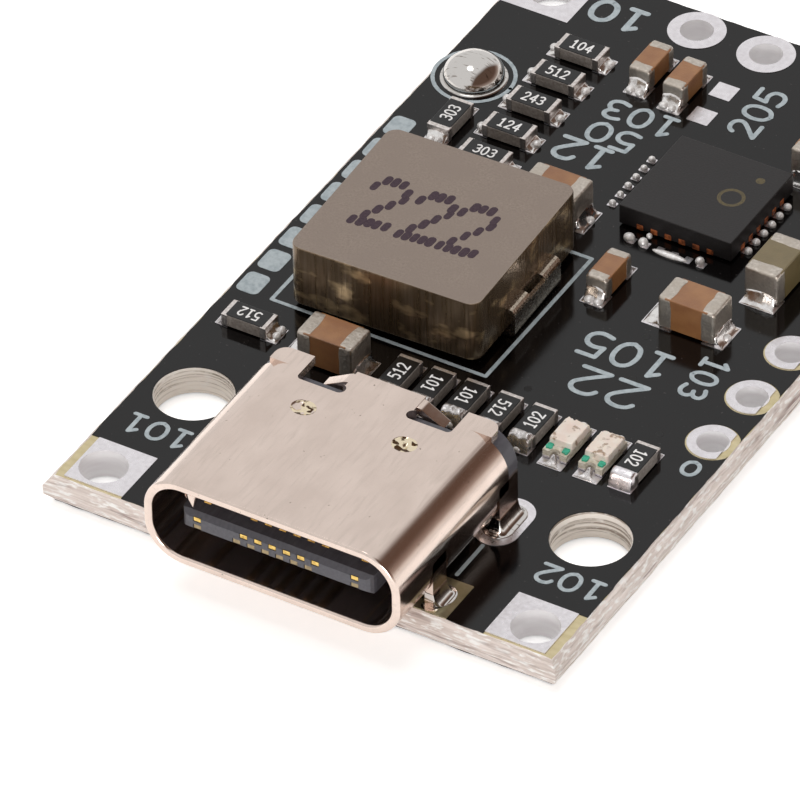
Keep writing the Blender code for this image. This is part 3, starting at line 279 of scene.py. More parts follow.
# The same plating on the lower row, dulled nearly to grey as painted shade over that row.
GOLD_PAINTED_SHADE = Finish("copper_strip_gold_painted_shade", "#a39273", 0.34, 1.0, (
    Layer((0.15, 0.3, 0.15), "#80715a", depth=0.003, low=0.45, high=0.75),))
# Iron powder pressed with resin, ground top: a matte warm grey with grains of 0.07 mm.
POWDER = Finish("iron_powder_pressed_top", "#877a71", 0.8, layers=(
    Layer(0.07, "#978a80", depth=0.01, detail=2.0),
    Layer(0.9, "#8d8077")))
# The same powder rubbed by the die's wall: a dark bronze mirror with upright scores, and soft
# golden patches that are painted reflections.
POWDER_WALL = Finish("iron_powder_pressed_wall", "#8f7c68", 0.2, 0.7, (
    Layer((0.12, 0.12, 2.2), "#6a573f", 0.28, 0.008, detail=3.0),
    Layer((1.0, 1.0, 0.6), "#dcc096", low=0.56, high=0.7)))
# Dark marking ink, jetted in drops: matte, sunk a little in the powder.
DARK_INK = Finish("dark_ink_jetted", "#3d2f39", 0.8, layers=(
    Layer(0.06, "#4c3d44", depth=0.008, low=0.35, high=0.75, detail=2.0),))
# Copper strip, tin plated: a grainy warm silver that still mirrors the board.
STRIP_TIN = Finish("copper_strip_tin_plated", "#cbbdac", 0.22, 1.0, (
    Layer(0.07, "#a5988a", 0.32, 0.008, detail=2.0),
    Layer((0.5, 0.1, 0.5), "#8a7d6c", low=0.6, high=0.72)))
# Capacitor ends, dipped and barrel plated: creamy silver, duller than solder, pitted.
DIPPED_TIN = Finish("silver_paste_tin_plated", "#dcd3c9", 0.34, 0.92, (
    Layer(0.1, "#b5aca2", depth=0.012, detail=2.0),
    Layer(0.4, "#c6bcb0", 0.48)))
# Silica-filled epoxy, moulded: matte near-black with a fine sparkle of filler. The real
# grains of 0.02 mm are drawn at 0.07 mm, so that they show.
COMPOUND = Finish("silica_epoxy_moulded", "#161313", 0.5, layers=(
    Layer(0.07, "#1e1a1a", depth=0.004, detail=2.0),))
# Copper leads, sawn and left bare: rusty red ends under the chip's edge.
COPPER = Finish("copper_sawn", "#c06c3e", 0.4, 0.3, (
    Layer(0.12, "#64361f", depth=0.004, low=0.4, high=0.7),))
# Black overcoat glass on a resistor, fired: smooth and deep black with a soft sheen.
GLAZE = Finish("black_glass_overcoat_fired", "#060505", 0.3, layers=(
    Layer(0.25, "#0c0a0b", depth=0.004),))
# Alumina slab, snapped from a sheet: tan-grey and dry, with a broken grain.
SLAB = Finish("alumina_snapped", "#a8a09a", 0.55, layers=(
    Layer(0.08, "#847c76", depth=0.01),))
# Resistor ends, plated over nickel: thin, warm and a little rough. The real crystals of
# 0.01 mm are drawn at 0.1 mm, so that they show.
CAP_TIN = Finish("nickel_barrier_tin_plated", "#f3ebe7", 0.32, 1.0, (
    Layer(0.1, "#cdc5c0", 0.45, 0.008, detail=2.0),))
# White code on a resistor, printed: crisp, broken up a little.
CODE = Finish("white_code_ink_printed", "#f6f5f5", 0.5, layers=(
    Layer(0.07, "#cfcdce", low=0.5, high=0.8),))
# Epoxy lens over a lamp, cast: milky pinkish cream, with brown wire and flux lines inside.
LENS = Finish("milky_epoxy_cast", "#f1e8dd", 0.3, milk=0.2, layers=(
    Layer(0.4, "#e8d6ca", depth=0.012),
    Layer(0.24, "#a88f7a", depth=0.01, low=0.57, high=0.66, detail=5.0)))
# Green polarity ink on a lamp's base, printed: bright, glossy, uneven in thickness.
GREEN = Finish("green_polarity_ink", "#3bb391", 0.35, layers=(
    Layer(0.1, "#2a8a70", depth=0.006, low=0.35, high=0.7),))
# White resin laminate under a lamp, routed: chalky with a slightly yellow edge.
LAMP_BASE = Finish("white_resin_laminate_routed", "#ded9cd", 0.5, layers=(
    Layer((0.2, 0.2, 0.06), "#b0a48e", depth=0.008),))
# The lead-one dot, a moulded dimple that a laser has turned olive.
DOT = Finish("epoxy_laser_browned", "#5f5439", 0.6, layers=(
    Layer(0.06, "#4a4230", depth=0.004, detail=1.0),))


class Ceramic(Enum):
    """Fired barium titanate, the capacitors' brick: satin, blotched in its own colour."""

    BROWN = Finish("barium_titanate_brown_fired", "#9a6b41", 0.38, bend=1.7, layers=(
        Layer(0.5, "#895a35"), Layer(0.06, depth=0.004, detail=1.0)))
    OLIVE = Finish("barium_titanate_olive_fired", "#766745", 0.38, bend=1.7, layers=(
        Layer(0.5, "#6a5c3b"), Layer(0.06, depth=0.004, detail=1.0)))


def on_board(x: float, y: float, z: float = 0.0) -> Vector:
    """Returns the place of a point given from the centre line, the front edge and the face."""
    return Vector((x, TOP_FRONT_Y + y, BOARD_TOP + z))


def at(place: Sequence[float], turn: float = 0.0) -> Matrix:
    """Returns the move to a place after a turn about the upright axis, in degrees."""
    return Matrix.Translation(place) @ Matrix.Rotation(math.radians(turn), 4, "Z")


ON_FACE = at(on_board(0.0, 0.0))


def arc(centre: Point, radius: float, start: float, stop: float, steps: int) -> Outline:
    """Draws an arc.

    Args:
        centre: Middle of the arc.
        radius: Its radius.
        start: Angle of its first point, in degrees.
        stop: Angle of its last point, in degrees.
        steps: Straight pieces in it.

    Returns:
        The arc's points.
    """
    points = []
    for step in range(steps + 1):
        angle = math.radians(start + (stop - start) * step / steps)
        points.append((centre[0] + radius * math.cos(angle), centre[1] + radius * math.sin(angle)))
    return points


def circle(centre: Point, diameter: float) -> Outline:
    """Returns the points of a full circle."""
    return arc(centre, diameter / 2, 0, 360, ROUND)[:-1]


def rectangle(width: float, length: float, corner: float = 0.0, centre: Point = (0.0, 0.0),
              steps: int = 4) -> Outline:
    """Returns the outline of a rectangle with round corners.

    Args:
        width: Size along the first axis.
        length: Size along the second axis.
        corner: Radius of the corners.
        centre: Middle of the rectangle.
        steps: Straight pieces in a corner.

    Returns:
        Its points, counter-clockwise.
    """
    across = width / 2 - corner
    along = length / 2 - corner
    points: Outline = []
    for index, (x, y) in enumerate(((across, along), (-across, along), (-across, -along),
                                    (across, -along))):
        middle = (centre[0] + x, centre[1] + y)
        if corner > 0.0:
            points += arc(middle, corner, 90 * index, 90 * index + 90, steps)
        else:
            points.append(middle)
    return points


def stadium(width: float, length: float, centre: Point, steps: int = 16) -> Outline:
    """Draws a slot with round ends, its length along the second axis.

    Args:
        width: Width of the slot.
        length: Length over its ends.
        centre: Middle of the slot.
        steps: Straight pieces in each end.

    Returns:
        The slot's points.
    """
    straight = (length - width) / 2
    return (arc((centre[0], centre[1] + straight), width / 2, 0, 180, steps)
            + arc((centre[0], centre[1] - straight), width / 2, 180, 360, steps))


def dense(outline: Outline, step: float) -> Outline:
    """Divides the long sides of a closed outline.

    Args:
        outline: The outline.
        step: Longest piece that is left.

    Returns:
        The outline with more points.
    """
    points: Outline = []
    for first, second in zip(outline, outline[1:] + outline[:1]):
        count = max(1, math.ceil(math.dist(first, second) / step))
        for index in range(count):
            share = index / count
            points.append((first[0] + (second[0] - first[0]) * share,
                           first[1] + (second[1] - first[1]) * share))
    return points


def uneven(x: float, y: float, z: float, size: float) -> float:
    """Returns a smooth random height from about -1 to 1 for marks of one size."""
    return noise.noise(Vector((x, y, z)) / size)


def linked(name: str, data: bpy.types.ID) -> bpy.types.Object:
    """Makes an object in the scene.

    Args:
        name: Its name.
        data: Its mesh, curve, light or camera.

    Returns:
        The object.
    """
    holder = bpy.data.objects.new(name, data)
    bpy.context.scene.collection.objects.link(holder)
    return holder


def evaluated(holder: bpy.types.Object) -> bpy.types.Mesh:
    """Returns a new mesh of an object as its curve or modifiers make it."""
    return bpy.data.meshes.new_from_object(
        holder.evaluated_get(bpy.context.evaluated_depsgraph_get()))


def as_mesh(shape: Shape, name: str) -> bpy.types.Mesh:
    """Turns a shape to a mesh and uses the shape up.

    Args:
        shape: The shape.
        name: The mesh's name.

    Returns:
        The mesh.
    """
    mesh = bpy.data.meshes.new(name)
    shape.to_mesh(mesh)
    shape.free()
    return mesh


def as_shape(mesh: bpy.types.Mesh) -> Shape:
    """Turns a mesh to a shape and uses the mesh up.

    Args:
        mesh: The mesh.

    Returns:
        The shape.
    """
    bm = bmesh.new()
    bm.from_mesh(mesh)
    bpy.data.meshes.remove(mesh)
    return bm


def prism(outlines: Sequence[Outline], low: float, high: float) -> Shape:
    """Returns a flat sheet between two heights, with the inner outlines left open.

    Args:
        outlines: The outer outline, then the openings in it.
        low: Height of the underside.
        high: Height of the upper side.

    Returns:
        The sheet.
    """
    curve = bpy.data.curves.new("sheet", "CURVE")
    curve.dimensions = "2D"
    curve.fill_mode = "BOTH"
    curve.extrude = (high - low) / 2
    for outline in outlines:
        spline = curve.splines.new("POLY")
        spline.points.add(len(outline) - 1)
        for point, (x, y) in zip(spline.points, outline):
            point.co = (x, y, 0.0, 1.0)
        spline.use_cyclic_u = True
    holder = linked("sheet", curve)
    bm = as_shape(evaluated(holder))
    bpy.data.objects.remove(holder, do_unlink=True)
    bmesh.ops.remove_doubles(bm, verts=bm.verts, dist=WELD)
    bmesh.ops.translate(bm, verts=bm.verts, vec=(0.0, 0.0, (low + high) / 2))
    return bm


def block(size: Sequence[float], edge: float = 0.0, segments: int = 3) -> Shape:
    """Makes a box round the origin with every edge rounded.

    Args:
        size: Its three sizes.
        edge: Radius of the edges.
        segments: Flats in each edge.

    Returns:
        The box.
    """
    bm = bmesh.new()
    bmesh.ops.create_cube(bm, size=1.0, matrix=Matrix.Diagonal((*size, 1.0)))
    if edge > 0.0:
        bmesh.ops.bevel(bm, geom=bm.edges[:], offset=edge, segments=segments, profile=0.5,
                        affect="EDGES")
    return bm


def ball(size: Sequence[float]) -> Shape:
    """Makes a bead of solder round the origin.

    Args:
        size: Its three half sizes.

    Returns:
        The bead.
    """
    bm = bmesh.new()
    bmesh.ops.create_uvsphere(bm, u_segments=20, v_segments=10, radius=1.0,
                              matrix=Matrix.Diagonal((*size, 1.0)))
    return bm


def loft(rings: Sequence[Sequence[Vector]], capped: bool = True) -> Shape:
    """Makes a skin over closed rings with as many points each.

    Args:
        rings: The rings in order.
        capped: Whether the ends are filled.

    Returns:
        The skin.
    """
    bm = bmesh.new()
    made = [[bm.verts.new(point) for point in ring] for ring in rings]
    count = len(made[0])
    for first, second in zip(made, made[1:]):
        for i in range(count):
            j = (i + 1) % count
            bm.faces.new((first[i], first[j], second[j], second[i]))
    if capped:
        bm.faces.new(list(reversed(made[0])))
        bm.faces.new(made[-1])
    bmesh.ops.recalc_face_normals(bm, faces=bm.faces)
    return bm


def turned(profile: Sequence[Point], closed: bool = False) -> Shape:
    """Returns a round body from a profile of radii and heights.

    Args:
        profile: Radius and height of each point.
        closed: Whether the profile runs back to its start, as for a pipe.

    Returns:
        The body.
    """
    points = list(profile) + ([profile[0]] if closed else [])
    rings = [[Vector((x, y, height)) for x, y in circle((0.0, 0.0), 2 * radius)]
             for radius, height in points]
    bm = loft(rings, capped=False)
    bmesh.ops.remove_doubles(bm, verts=bm.verts, dist=WELD)
    bmesh.ops.recalc_face_normals(bm, faces=bm.faces)
    return bm


def carved(body: Shape, tool: Shape, operation: str = "DIFFERENCE") -> Shape:
    """Cuts a tool from a body or adds it; both are used up.

    Args:
        body: The body.
        tool: The shape that cuts it or joins it.
        operation: Which of the two, by its name in the modifier.

    Returns:
        The new body.
    """
    holders = [linked("carving", as_mesh(shape, "carving")) for shape in (body, tool)]
    cut = holders[0].modifiers.new("cut", "BOOLEAN")
    cut.operation = operation
    cut.solver = "EXACT"
    cut.object = holders[1]
    result = evaluated(holders[0])
    for holder in holders:
        bpy.data.meshes.remove(holder.data)
    return as_shape(result)


def placed(bm: Shape, move: Matrix) -> Shape:
    """Moves a shape and returns it."""
    bmesh.ops.transform(bm, matrix=move, verts=bm.verts)
    return bm


class Body:
    """A piece under work: one mesh in millimetres, with one finish for each slot."""

    def __init__(self, *finishes: Finish) -> None:
        """Starts an empty piece with its finishes in slot order."""
        self.bm = bmesh.new()
        self.finishes = finishes

    def take(self, shape: Shape, finish: Finish | None = None,
             move: Matrix | None = None) -> None:
        """Adds a shape to the piece and uses it up.

        Args:
            shape: The shape to add.
            finish: Its finish, or None to keep the slots that its faces have.
            move: Where it goes.
        """
        if move is not None:
            placed(shape, move)
        if finish is not None:
            slot = self.finishes.index(finish)
            for face in shape.faces:
                face.material_index = slot
        mesh = as_mesh(shape, "shape")
        self.bm.from_mesh(mesh)
        bpy.data.meshes.remove(mesh)

    def finished(self, name: str, slot: str, *nodes: str, crease: float = 40.0,
                 weigh: bool = True) -> None:
        """Makes the object, in metres, and ties it to the frame.

        Args:
            name: The piece's name.
            slot: The record's material slot; not used.
            nodes: CAD nodes that it stands for.
            crease: Edges sharper than this many degrees stay sharp.
            weigh: Whether large faces keep their own flat shading beside small ones.
        """
        mesh = as_mesh(self.bm, name)
        mesh.shade_smooth()
        mesh.set_sharp_from_angle(angle=math.radians(crease))
        for finish in self.finishes:
            mesh.materials.append(finish.material())
        piece = linked(name, mesh)
        if weigh:
            weight = piece.modifiers.new("weigh", "WEIGHTED_NORMAL")
            weight.keep_sharp = True
            piece.data = evaluated(piece)
            piece.modifiers.clear()
            bpy.data.meshes.remove(mesh)
            piece.data.name = name
        piece.data.transform(Matrix.Scale(METRES, 4))
        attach(piece, "root")
        if nodes:
            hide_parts(*nodes)
        LOG.info("%s: %d faces", name, len(piece.data.polygons))


class Strokes:
    """Plain numbers drawn with a round pen, as a board's legend is."""

    DIGITS: dict[str, list[Outline]] = {
        "0": [[(0.3, 0.0), (0.09, 0.1), (0.0, 0.35), (0.0, 0.65), (0.09, 0.9), (0.3, 1.0),
               (0.51, 0.9), (0.6, 0.65), (0.6, 0.35), (0.51, 0.1), (0.3, 0.0)]],
        "1": [[(0.1, 0.8), (0.32, 1.0), (0.32, 0.0)], [(0.1, 0.0), (0.54, 0.0)]],
        "2": [[(0.02, 0.78), (0.1, 0.94), (0.3, 1.0), (0.5, 0.94), (0.59, 0.76), (0.53, 0.56),
               (0.0, 0.0), (0.6, 0.0)]],
        "3": [[(0.03, 0.9), (0.3, 1.0), (0.54, 0.9), (0.57, 0.7), (0.44, 0.55), (0.25, 0.52)],
              [(0.44, 0.55), (0.6, 0.38), (0.58, 0.14), (0.32, 0.0), (0.02, 0.1)]],
        "4": [[(0.46, 0.0), (0.46, 1.0), (0.0, 0.3), (0.62, 0.3)]],
        "5": [[(0.56, 1.0), (0.08, 1.0), (0.04, 0.56), (0.3, 0.64), (0.54, 0.54), (0.6, 0.3),
               (0.5, 0.08), (0.28, 0.0), (0.02, 0.08)]],
    }

    @classmethod
    def lines(cls, text: str, height: float, width: float = 1.0,
              gap: float = 0.28) -> list[Outline]:
        """Returns the pen's paths of a number, centred on the origin.

        Args:
            text: The digits.
            height: Height of a digit.
            width: How wide a digit is against the plain one.
            gap: Space between digits, as a share of the height.

        Returns:
            The paths.
        """
        step = 0.6 * width + gap
        total = step * len(text) - gap
        paths = []
        for index, digit in enumerate(text):
            for path in cls.DIGITS[digit]:
                paths.append([((index * step + x * width - total / 2) * height,
                               (y - 0.5) * height) for x, y in cls.eased(path)])
        return paths

    @staticmethod
    def eased(path: Outline) -> Outline:
        """Cuts a path's slight bends smaller; sharp corners and ends stay.

        Args:
            path: The pen's path.

        Returns:
            The smoother path.
        """
        for _ in range(2):
            points = [path[0]]
            for before, here, after in zip(path, path[1:], path[2:]):
                first, second = Vector(here) - Vector(before), Vector(after) - Vector(here)
                if first.angle(second) > 1.3:
                    points.append(here)
                else:
                    points += [tuple(Vector(here) - first * 0.25),
                               tuple(Vector(here) + second * 0.25)]
            path = points + [path[-1]]
        return path

    @staticmethod
    def capsule(start: Point, stop: Point, pen: float, low: float, high: float,
                steps: int = 6) -> Shape:
        """Makes one straight mark of a round pen.

        Args:
            start: Where the pen comes down.
            stop: Where it leaves.
            pen: Width of the pen.
            low: Height of the mark's underside.
            high: Height of its top.
            steps: Flats in each round end.

        Returns:
            The mark.
        """
        angle = math.degrees(math.atan2(stop[1] - start[1], stop[0] - start[0]))
        outline = (arc(stop, pen / 2, angle - 90, angle + 90, steps)
                   + arc(start, pen / 2, angle + 90, angle + 270, steps))
        return loft([[Vector((x, y, z)) for x, y in outline] for z in (low, high)])

    @classmethod
    def draw(cls, body: Body, paths: list[Outline], pen: float, move: Matrix, finish: Finish,
             high: float = 0.012) -> None:
        """Draws paths on a piece, each mark a hair higher than the last so that none flickers.

        Args:
            body: The piece that takes the marks.
            paths: The pen's paths.
            pen: Width of the pen.
            move: Where they go, on the surface.
            finish: The ink.
            high: How far the ink stands out of the surface.
        """
        marks = [ends for path in paths for ends in zip(path, path[1:])]
        for index, (start, stop) in enumerate(marks):
            lift = 0.0013 * (index % 5)
            body.take(cls.capsule(start, stop, pen, -0.01, high + lift), finish, move)


@dataclass(frozen=True)
class Pad:
    """A land on the board: its middle, its size and the turn of its part."""

    x: float
    y: float
    width: float
    length: float
    turn: float = 0.0


@dataclass(frozen=True)
class Leg:
    """A leg of the socket's shell: its place, its width, and its slot and land in the board."""

    y: float
    width: float
    slot_y: float
    slot: float
    land_y: float
    land: float


@dataclass
class CircuitBoard:
    """The board: laminate, mask on both faces, tinned lands, plated holes and legend."""

    width: float = 18.05
    length: float = 30.26
    thickness: float = 1.0
    score_inset: float = 0.26
    score_depth: float = 0.33
    fray: float = 0.035
    mask: float = 0.02
    land: float = 0.04
    mount_hole: float = 2.55
    mount_hole_x: float = 7.01
    mount_hole_y: float = 5.4
    front_pad: float = 2.08
    front_pad_x: float = 7.4
    front_pad_y: float = 1.15
    front_hole: float = 1.6
    front_hole_x: float = 7.59
    front_hole_y: float = 1.05
    back_pad: float = 2.5
    back_pad_x: float = 7.5
    back_pad_from_end: float = 1.42
    back_hole: float = 1.7
    edge_ring: float = 1.62
    edge_hole: float = 1.08
    edge_x: float = 7.99
    edge_y: tuple[float, ...] = (11.18, 13.64, 16.1)
    back_ring: float = 1.9
    back_eyelet_hole: float = 1.15
    back_x: tuple[float, ...] = (-2.45, 0.07)
    back_from_end: float = 0.98
    bare_margin: float = 0.3
    plating: float = 0.035
    cutter: Point = (-1.5, 0.5)
    land_corner: float = 0.03
    ink: float = 0.012
    leg_x: float = 4.32
    shell_x: float = 0.03
    leg_gauge: float = 0.3
    leg_slot: float = 0.6
    leg_land: float = 1.44
    legs: tuple[Leg, ...] = (Leg(0.66, 0.8, 0.72, 1.3, 0.87, 1.72),
                             Leg(4.8, 1.1, 4.8, 1.7, 4.8, 2.36))
    test_pad: float = 0.75
    test_pads: tuple[Point, ...] = ((-0.15, 25.0), (-0.15, 26.43))
    legend_pen: float = 0.13
    bar: Point = (0.8, 1.0)
    bar_start: Point = (-8.2, 10.9)
    bar_pitch: float = 1.28
    bars: int = 8
    vias: tuple[Point, ...] = ((4.52, 7.48), (3.71, 14.59), (4.36, 12.61), (4.11, 11.37),
                               (6.38, 10.7), (1.81, 10.63))

    @property
    def end(self) -> float:
        """Length of the upper face."""
        return self.length - 2 * self.score_inset

    @property
    def half(self) -> float:
        """Half the width of the upper face."""
        return self.width / 2 - self.score_inset

    def mount_holes(self) -> list[Point]:
        """Returns the places of the two mounting holes."""
        return [(side * self.mount_hole_x, self.mount_hole_y) for side in (-1, 1)]

    def plated_holes(self) -> list[Triple]:
        """Lists the plated holes.

        Returns:
            Place and diameter of each hole.
        """
        made = []
        for side in (-1, 1):
            made.append((side * self.front_hole_x, self.front_hole_y, self.front_hole))
            made.append((side * self.back_pad_x, self.end - self.back_pad_from_end,
                         self.back_hole))
        made += [(self.edge_x, y, self.edge_hole) for y in self.edge_y]
        made += [(x, self.end - self.back_from_end, self.back_eyelet_hole) for x in self.back_x]
        return made

    def leg_slots(self) -> list[Outline]:
        """Returns the outlines of the slots that the shell's legs stand in."""
        return [stadium(self.leg_slot, leg.slot, (self.shell_x + side * self.leg_x, leg.slot_y))
                for side in (-1, 1) for leg in self.legs]

    def frayed(self, outline: Outline) -> Outline:
        """Breaks up the parts of an outline that lie on the scored edge.

        Args:
            outline: An outline on the upper face.

        Returns:
            The outline, frayed and kept on the face.
        """
        points = []
        for x, y in dense(outline, 0.22):
            push = self.fray * (1 + uneven(x, y, 3.0, 0.45))
            x = max(push - self.half, min(self.half - push, x))
            points.append((x, max(push, min(self.end - push, y))))
        return points

    def edge_ring_at(self, inset: float, height: float, rough: float) -> list[Vector]:
        """Draws the laminate's outline at one height.

        Args:
            inset: How far it is drawn in.
            height: Its height over the underside.
            rough: How far the crushed glass pushes it in.

        Returns:
            The outline's points.
        """
        rim = dense(rectangle(self.width, self.length, 0.02, steps=1), 0.22)
        ring = []
        for x, y in rim:
            push = inset + rough * (1 + uneven(x, y, height * 5, 0.4))
            half, end = self.width / 2 - push, self.length / 2 - push
            ring.append(Vector((max(-half, min(half, x)), max(-end, min(end, y)), height)))
        return ring

    def build_laminate(self) -> None:
        """Makes the laminate with its scored edges, holes and slots."""
        lift = 0.015
        web = self.thickness - self.score_depth
        # Inset, height and roughness of the edge from the underside up.
        levels = ((self.score_inset + self.fray, lift, 0.0), (0.13, 0.16, 0.04),
                  (0.0, self.score_depth, 0.03), (0.0, 0.5, 0.02), (0.0, web, 0.03),
                  (0.13, web + 0.17, 0.04), (self.score_inset, self.thickness, self.fray))
        bm = loft([self.edge_ring_at(*level) for level in levels])
        openings = [circle(spot, self.mount_hole) for spot in self.mount_holes()]
        openings += [circle((x, y), diameter) for x, y, diameter in self.plated_holes()]
        for outline in openings + self.leg_slots():
            bm = carved(bm, placed(prism([outline], *self.cutter), ON_FACE))
        bm.normal_update()
        body = Body(LAMINATE, SCORED, DRILLED)
        for face in bm.faces:
            middle = face.calc_center_median()
            upright = abs(face.normal.z)
            inside = abs(middle.x) < self.half - 0.1 and abs(middle.y) < self.end / 2 - 0.1
            if upright > 0.97:
                face.material_index = 0
            else:
                face.material_index = 2 if upright < 0.1 and inside else 1
        body.take(bm)
        for x, y in self.mount_holes():
            body.take(self.drilled_wall(), DRILLED, at(on_board(x, y)))
        body.finished("board_laminate", "solder_mask", "board", crease=38.0)

    def drilled_wall(self) -> Shape:
        """Makes a mounting hole's wall with the ridges of its plies.

        Returns:
            The wall, its top at z = 0.
        """
        plies = 20
        radius = self.mount_hole / 2
        profile = [(radius + 0.02, 0.0)]
        for ply in range(plies + 1):
            ridge = 0.008 + 0.016 * (ply % 2) + 0.01 * uneven(ply, 0.0, 0.0, 1.7)
            profile.append((radius - ridge, -0.98 * self.thickness * ply / plies))
        profile.append((radius + 0.02, -0.98 * self.thickness))
        return turned(profile, closed=True)

    def mask_outline(self) -> Outline:
        """Draws the upper mask, open at corner lands and eyelets.

        Returns:
            The mask's outline.
        """
        half, end = self.half, self.end
        inner = self.front_pad_x - self.front_pad / 2
        front = self.front_pad_y + self.front_pad / 2
        back_inner = self.back_pad_x - self.back_pad / 2
        back = end - self.back_pad_from_end - self.back_pad / 2
        points = [(-inner, 0.0), (inner, 0.0), (inner, front), (half, front)]
        radius = self.edge_ring / 2 + 0.05
        swing = math.degrees(math.acos((half - self.edge_x) / radius))
        for y in self.edge_y:
            points += arc((self.edge_x, y), radius, 360 - swing, swing, 36)
        points += [(half, back), (back_inner, back), (back_inner, end), (-back_inner, end),
                   (-back_inner, back), (-half, back), (-half, front), (-inner, front)]
        return self.frayed(points)

    def build_mask(self) -> None:
        """Makes the mask on both faces, open at holes, slots and edge lands."""
        slots = self.leg_slots()
        drills = [circle(spot, self.mount_hole + 0.02) for spot in self.mount_holes()]
        tented = [circle((x, y), diameter + 0.5) for x, y, diameter in self.plated_holes()
                  if abs(x) < 6.0]
        upper = prism([self.mask_outline()] + drills + tented + slots, 0.0, self.mask)
        half, end = self.half, self.end
        plain = self.frayed([(-half, 0.0), (half, 0.0), (half, end), (-half, end)])
        small = [circle((x, y), diameter + 0.06) for x, y, diameter in self.plated_holes()]
        lower = prism([plain] + drills + small + slots, -self.thickness,
                      self.mask - self.thickness)
        for name, sheet in (("board_mask_upper", upper), ("board_mask_lower", lower)):
            body = Body(MASK)
            body.take(sheet, MASK, ON_FACE)
            body.finished(name, "solder_mask", crease=30.0)

    def build_lands(self, pads: Sequence[Pad]) -> None:
        """Makes the tinned lands and the plated holes.

        Args:
            pads: The lands of every chip part.
        """
        body = Body(TINNED, BARREL_PAINTED_REFLECTION)
        sheets = []
        high = self.land
        back_y = self.end - self.back_pad_from_end
        for side in (-1, 1):
            for x, y, size, hole_x, hole_y, hole in (
                    (self.front_pad_x, self.front_pad_y, self.front_pad, self.front_hole_x,
                     self.front_hole_y, self.front_hole),
                    (self.back_pad_x, back_y, self.back_pad, self.back_pad_x, back_y,
                     self.back_hole)):
                square = rectangle(size, size, 0.02, (side * x, y), 2)
                sheets.append([square, circle((side * hole_x, hole_y), hole - 0.06)])
        for y in self.edge_y:
            radius = self.edge_ring / 2
            cut = self.half - self.bare_margin
            swing = math.degrees(math.acos((cut - self.edge_x) / radius))
            sheets.append([arc((self.edge_x, y), radius, swing, 360 - swing, 40),
                           circle((self.edge_x, y), self.edge_hole - 0.06)])
        for x in self.back_x:
            spot = (x, self.end - self.back_from_end)
            sheets.append([circle(spot, self.back_ring),
                           circle(spot, self.back_eyelet_hole - 0.06)])
        for spot in self.test_pads:
            sheets.append([rectangle(self.test_pad, self.test_pad, self.land_corner, spot)])
        for outlines in sheets:
            body.take(prism(outlines, -0.01, high), TINNED, ON_FACE)
        for pad in pads:
            land = rectangle(pad.width, pad.length, self.land_corner)
            body.take(prism([land], 0.0, high), TINNED, at(on_board(pad.x, pad.y), pad.turn))
        foot = 0.003 - self.thickness
        for x, y, diameter in self.plated_holes():
            radius = diameter / 2
            inner = radius - self.plating
            wall = [(radius + 0.005, high - 0.005), (inner + 0.006, high - 0.002),
                    (inner, high - 0.02), (inner, foot + 0.02), (inner + 0.015, foot),
                    (radius + 0.005, foot)]
            body.take(turned(wall, closed=True), BARREL_PAINTED_REFLECTION, at(on_board(x, y)))
        body.finished("board_lands", "solder_mask", crease=30.0)

    def build_leg_solder(self) -> None:
        """Makes the lands round the shell's legs and the solder that climbs from them."""
        for label, side in (("left", -1), ("right", 1)):
            body = Body(FLUXED, TINNED, POOL)
            x = self.shell_x + side * self.leg_x
            for index, leg in enumerate(self.legs):
                if index == 0:
                    outer = self.frayed(rectangle(self.leg_land, leg.land, self.land_corner,
                                                  (x, leg.land_y)))
                else:
                    outer = stadium(self.leg_land, leg.land, (x, leg.land_y))
                inner = stadium(self.leg_slot, leg.slot, (x, leg.slot_y))
                body.take(prism([outer, inner], -0.01, self.land), (FLUXED, TINNED)[index],
                          ON_FACE)
                body.take(prism([inner], -0.4, self.land - 0.01), POOL, ON_FACE)
                body.take(self.meniscus(x, leg, index), POOL, ON_FACE)
            body.finished(f"board_leg_solder_{label}", "tin", crease=60.0, weigh=False)

    def meniscus(self, x: float, leg: Leg, seed: int) -> Shape:
        """Returns the solder round a leg: a wide concave pool that thins as it climbs.

        Args:
            x: Place of the leg across the board.
            leg: The leg.
            seed: Sets the pool's small unevenness.

        Returns:
            The solder, its foot on the land.
        """
        steps = 10
        climb = 0.5
        foot = (self.leg_land - 0.42, leg.land - 0.62, leg.land_y + 0.02)
        tip = (self.leg_gauge + 0.03, leg.width + 0.03, leg.y)
        rings = []
        for step in range(steps + 1):
            share = step / steps
            reach = (1 - share) ** 1.2
            width, length, middle = (low * reach + high * (1 - reach)
                                     for low, high in zip(foot, tip))
            corner = min(width, length) / 2 * (0.25 + 0.7 * reach)
            height = self.land + 0.02 * (share > 0) + climb * share ** 3.2
            ring = []
            for px, py in rectangle(width, length, corner, (x, middle), 8):
                wave = 0.03 * uneven(px, py, seed * 3.0, 0.5) * min(1.0, 4 * share)
                ring.append(Vector((px, py, height + wave)))
            rings.append(ring)
        return loft(rings)

    def build_legend(self) -> None:
        """Makes the white legend: outlines, a line by the socket and plain numbers."""
        body = Body(LEGEND)
        level = self.mask
        outline = [(-7.29, 10.5), (0.37, 10.5), (0.37, 17.08), (-7.29, 17.08), (-7.29, 10.5)]
        ring = arc((-7.45, 23.25), 1.32, 0, 360, 36)
        for path in (outline, [(4.32, 1.97), (4.32, 3.52)], ring):
            Strokes.draw(body, [path], self.legend_pen, at(on_board(0.0, 0.0, level)), LEGEND)
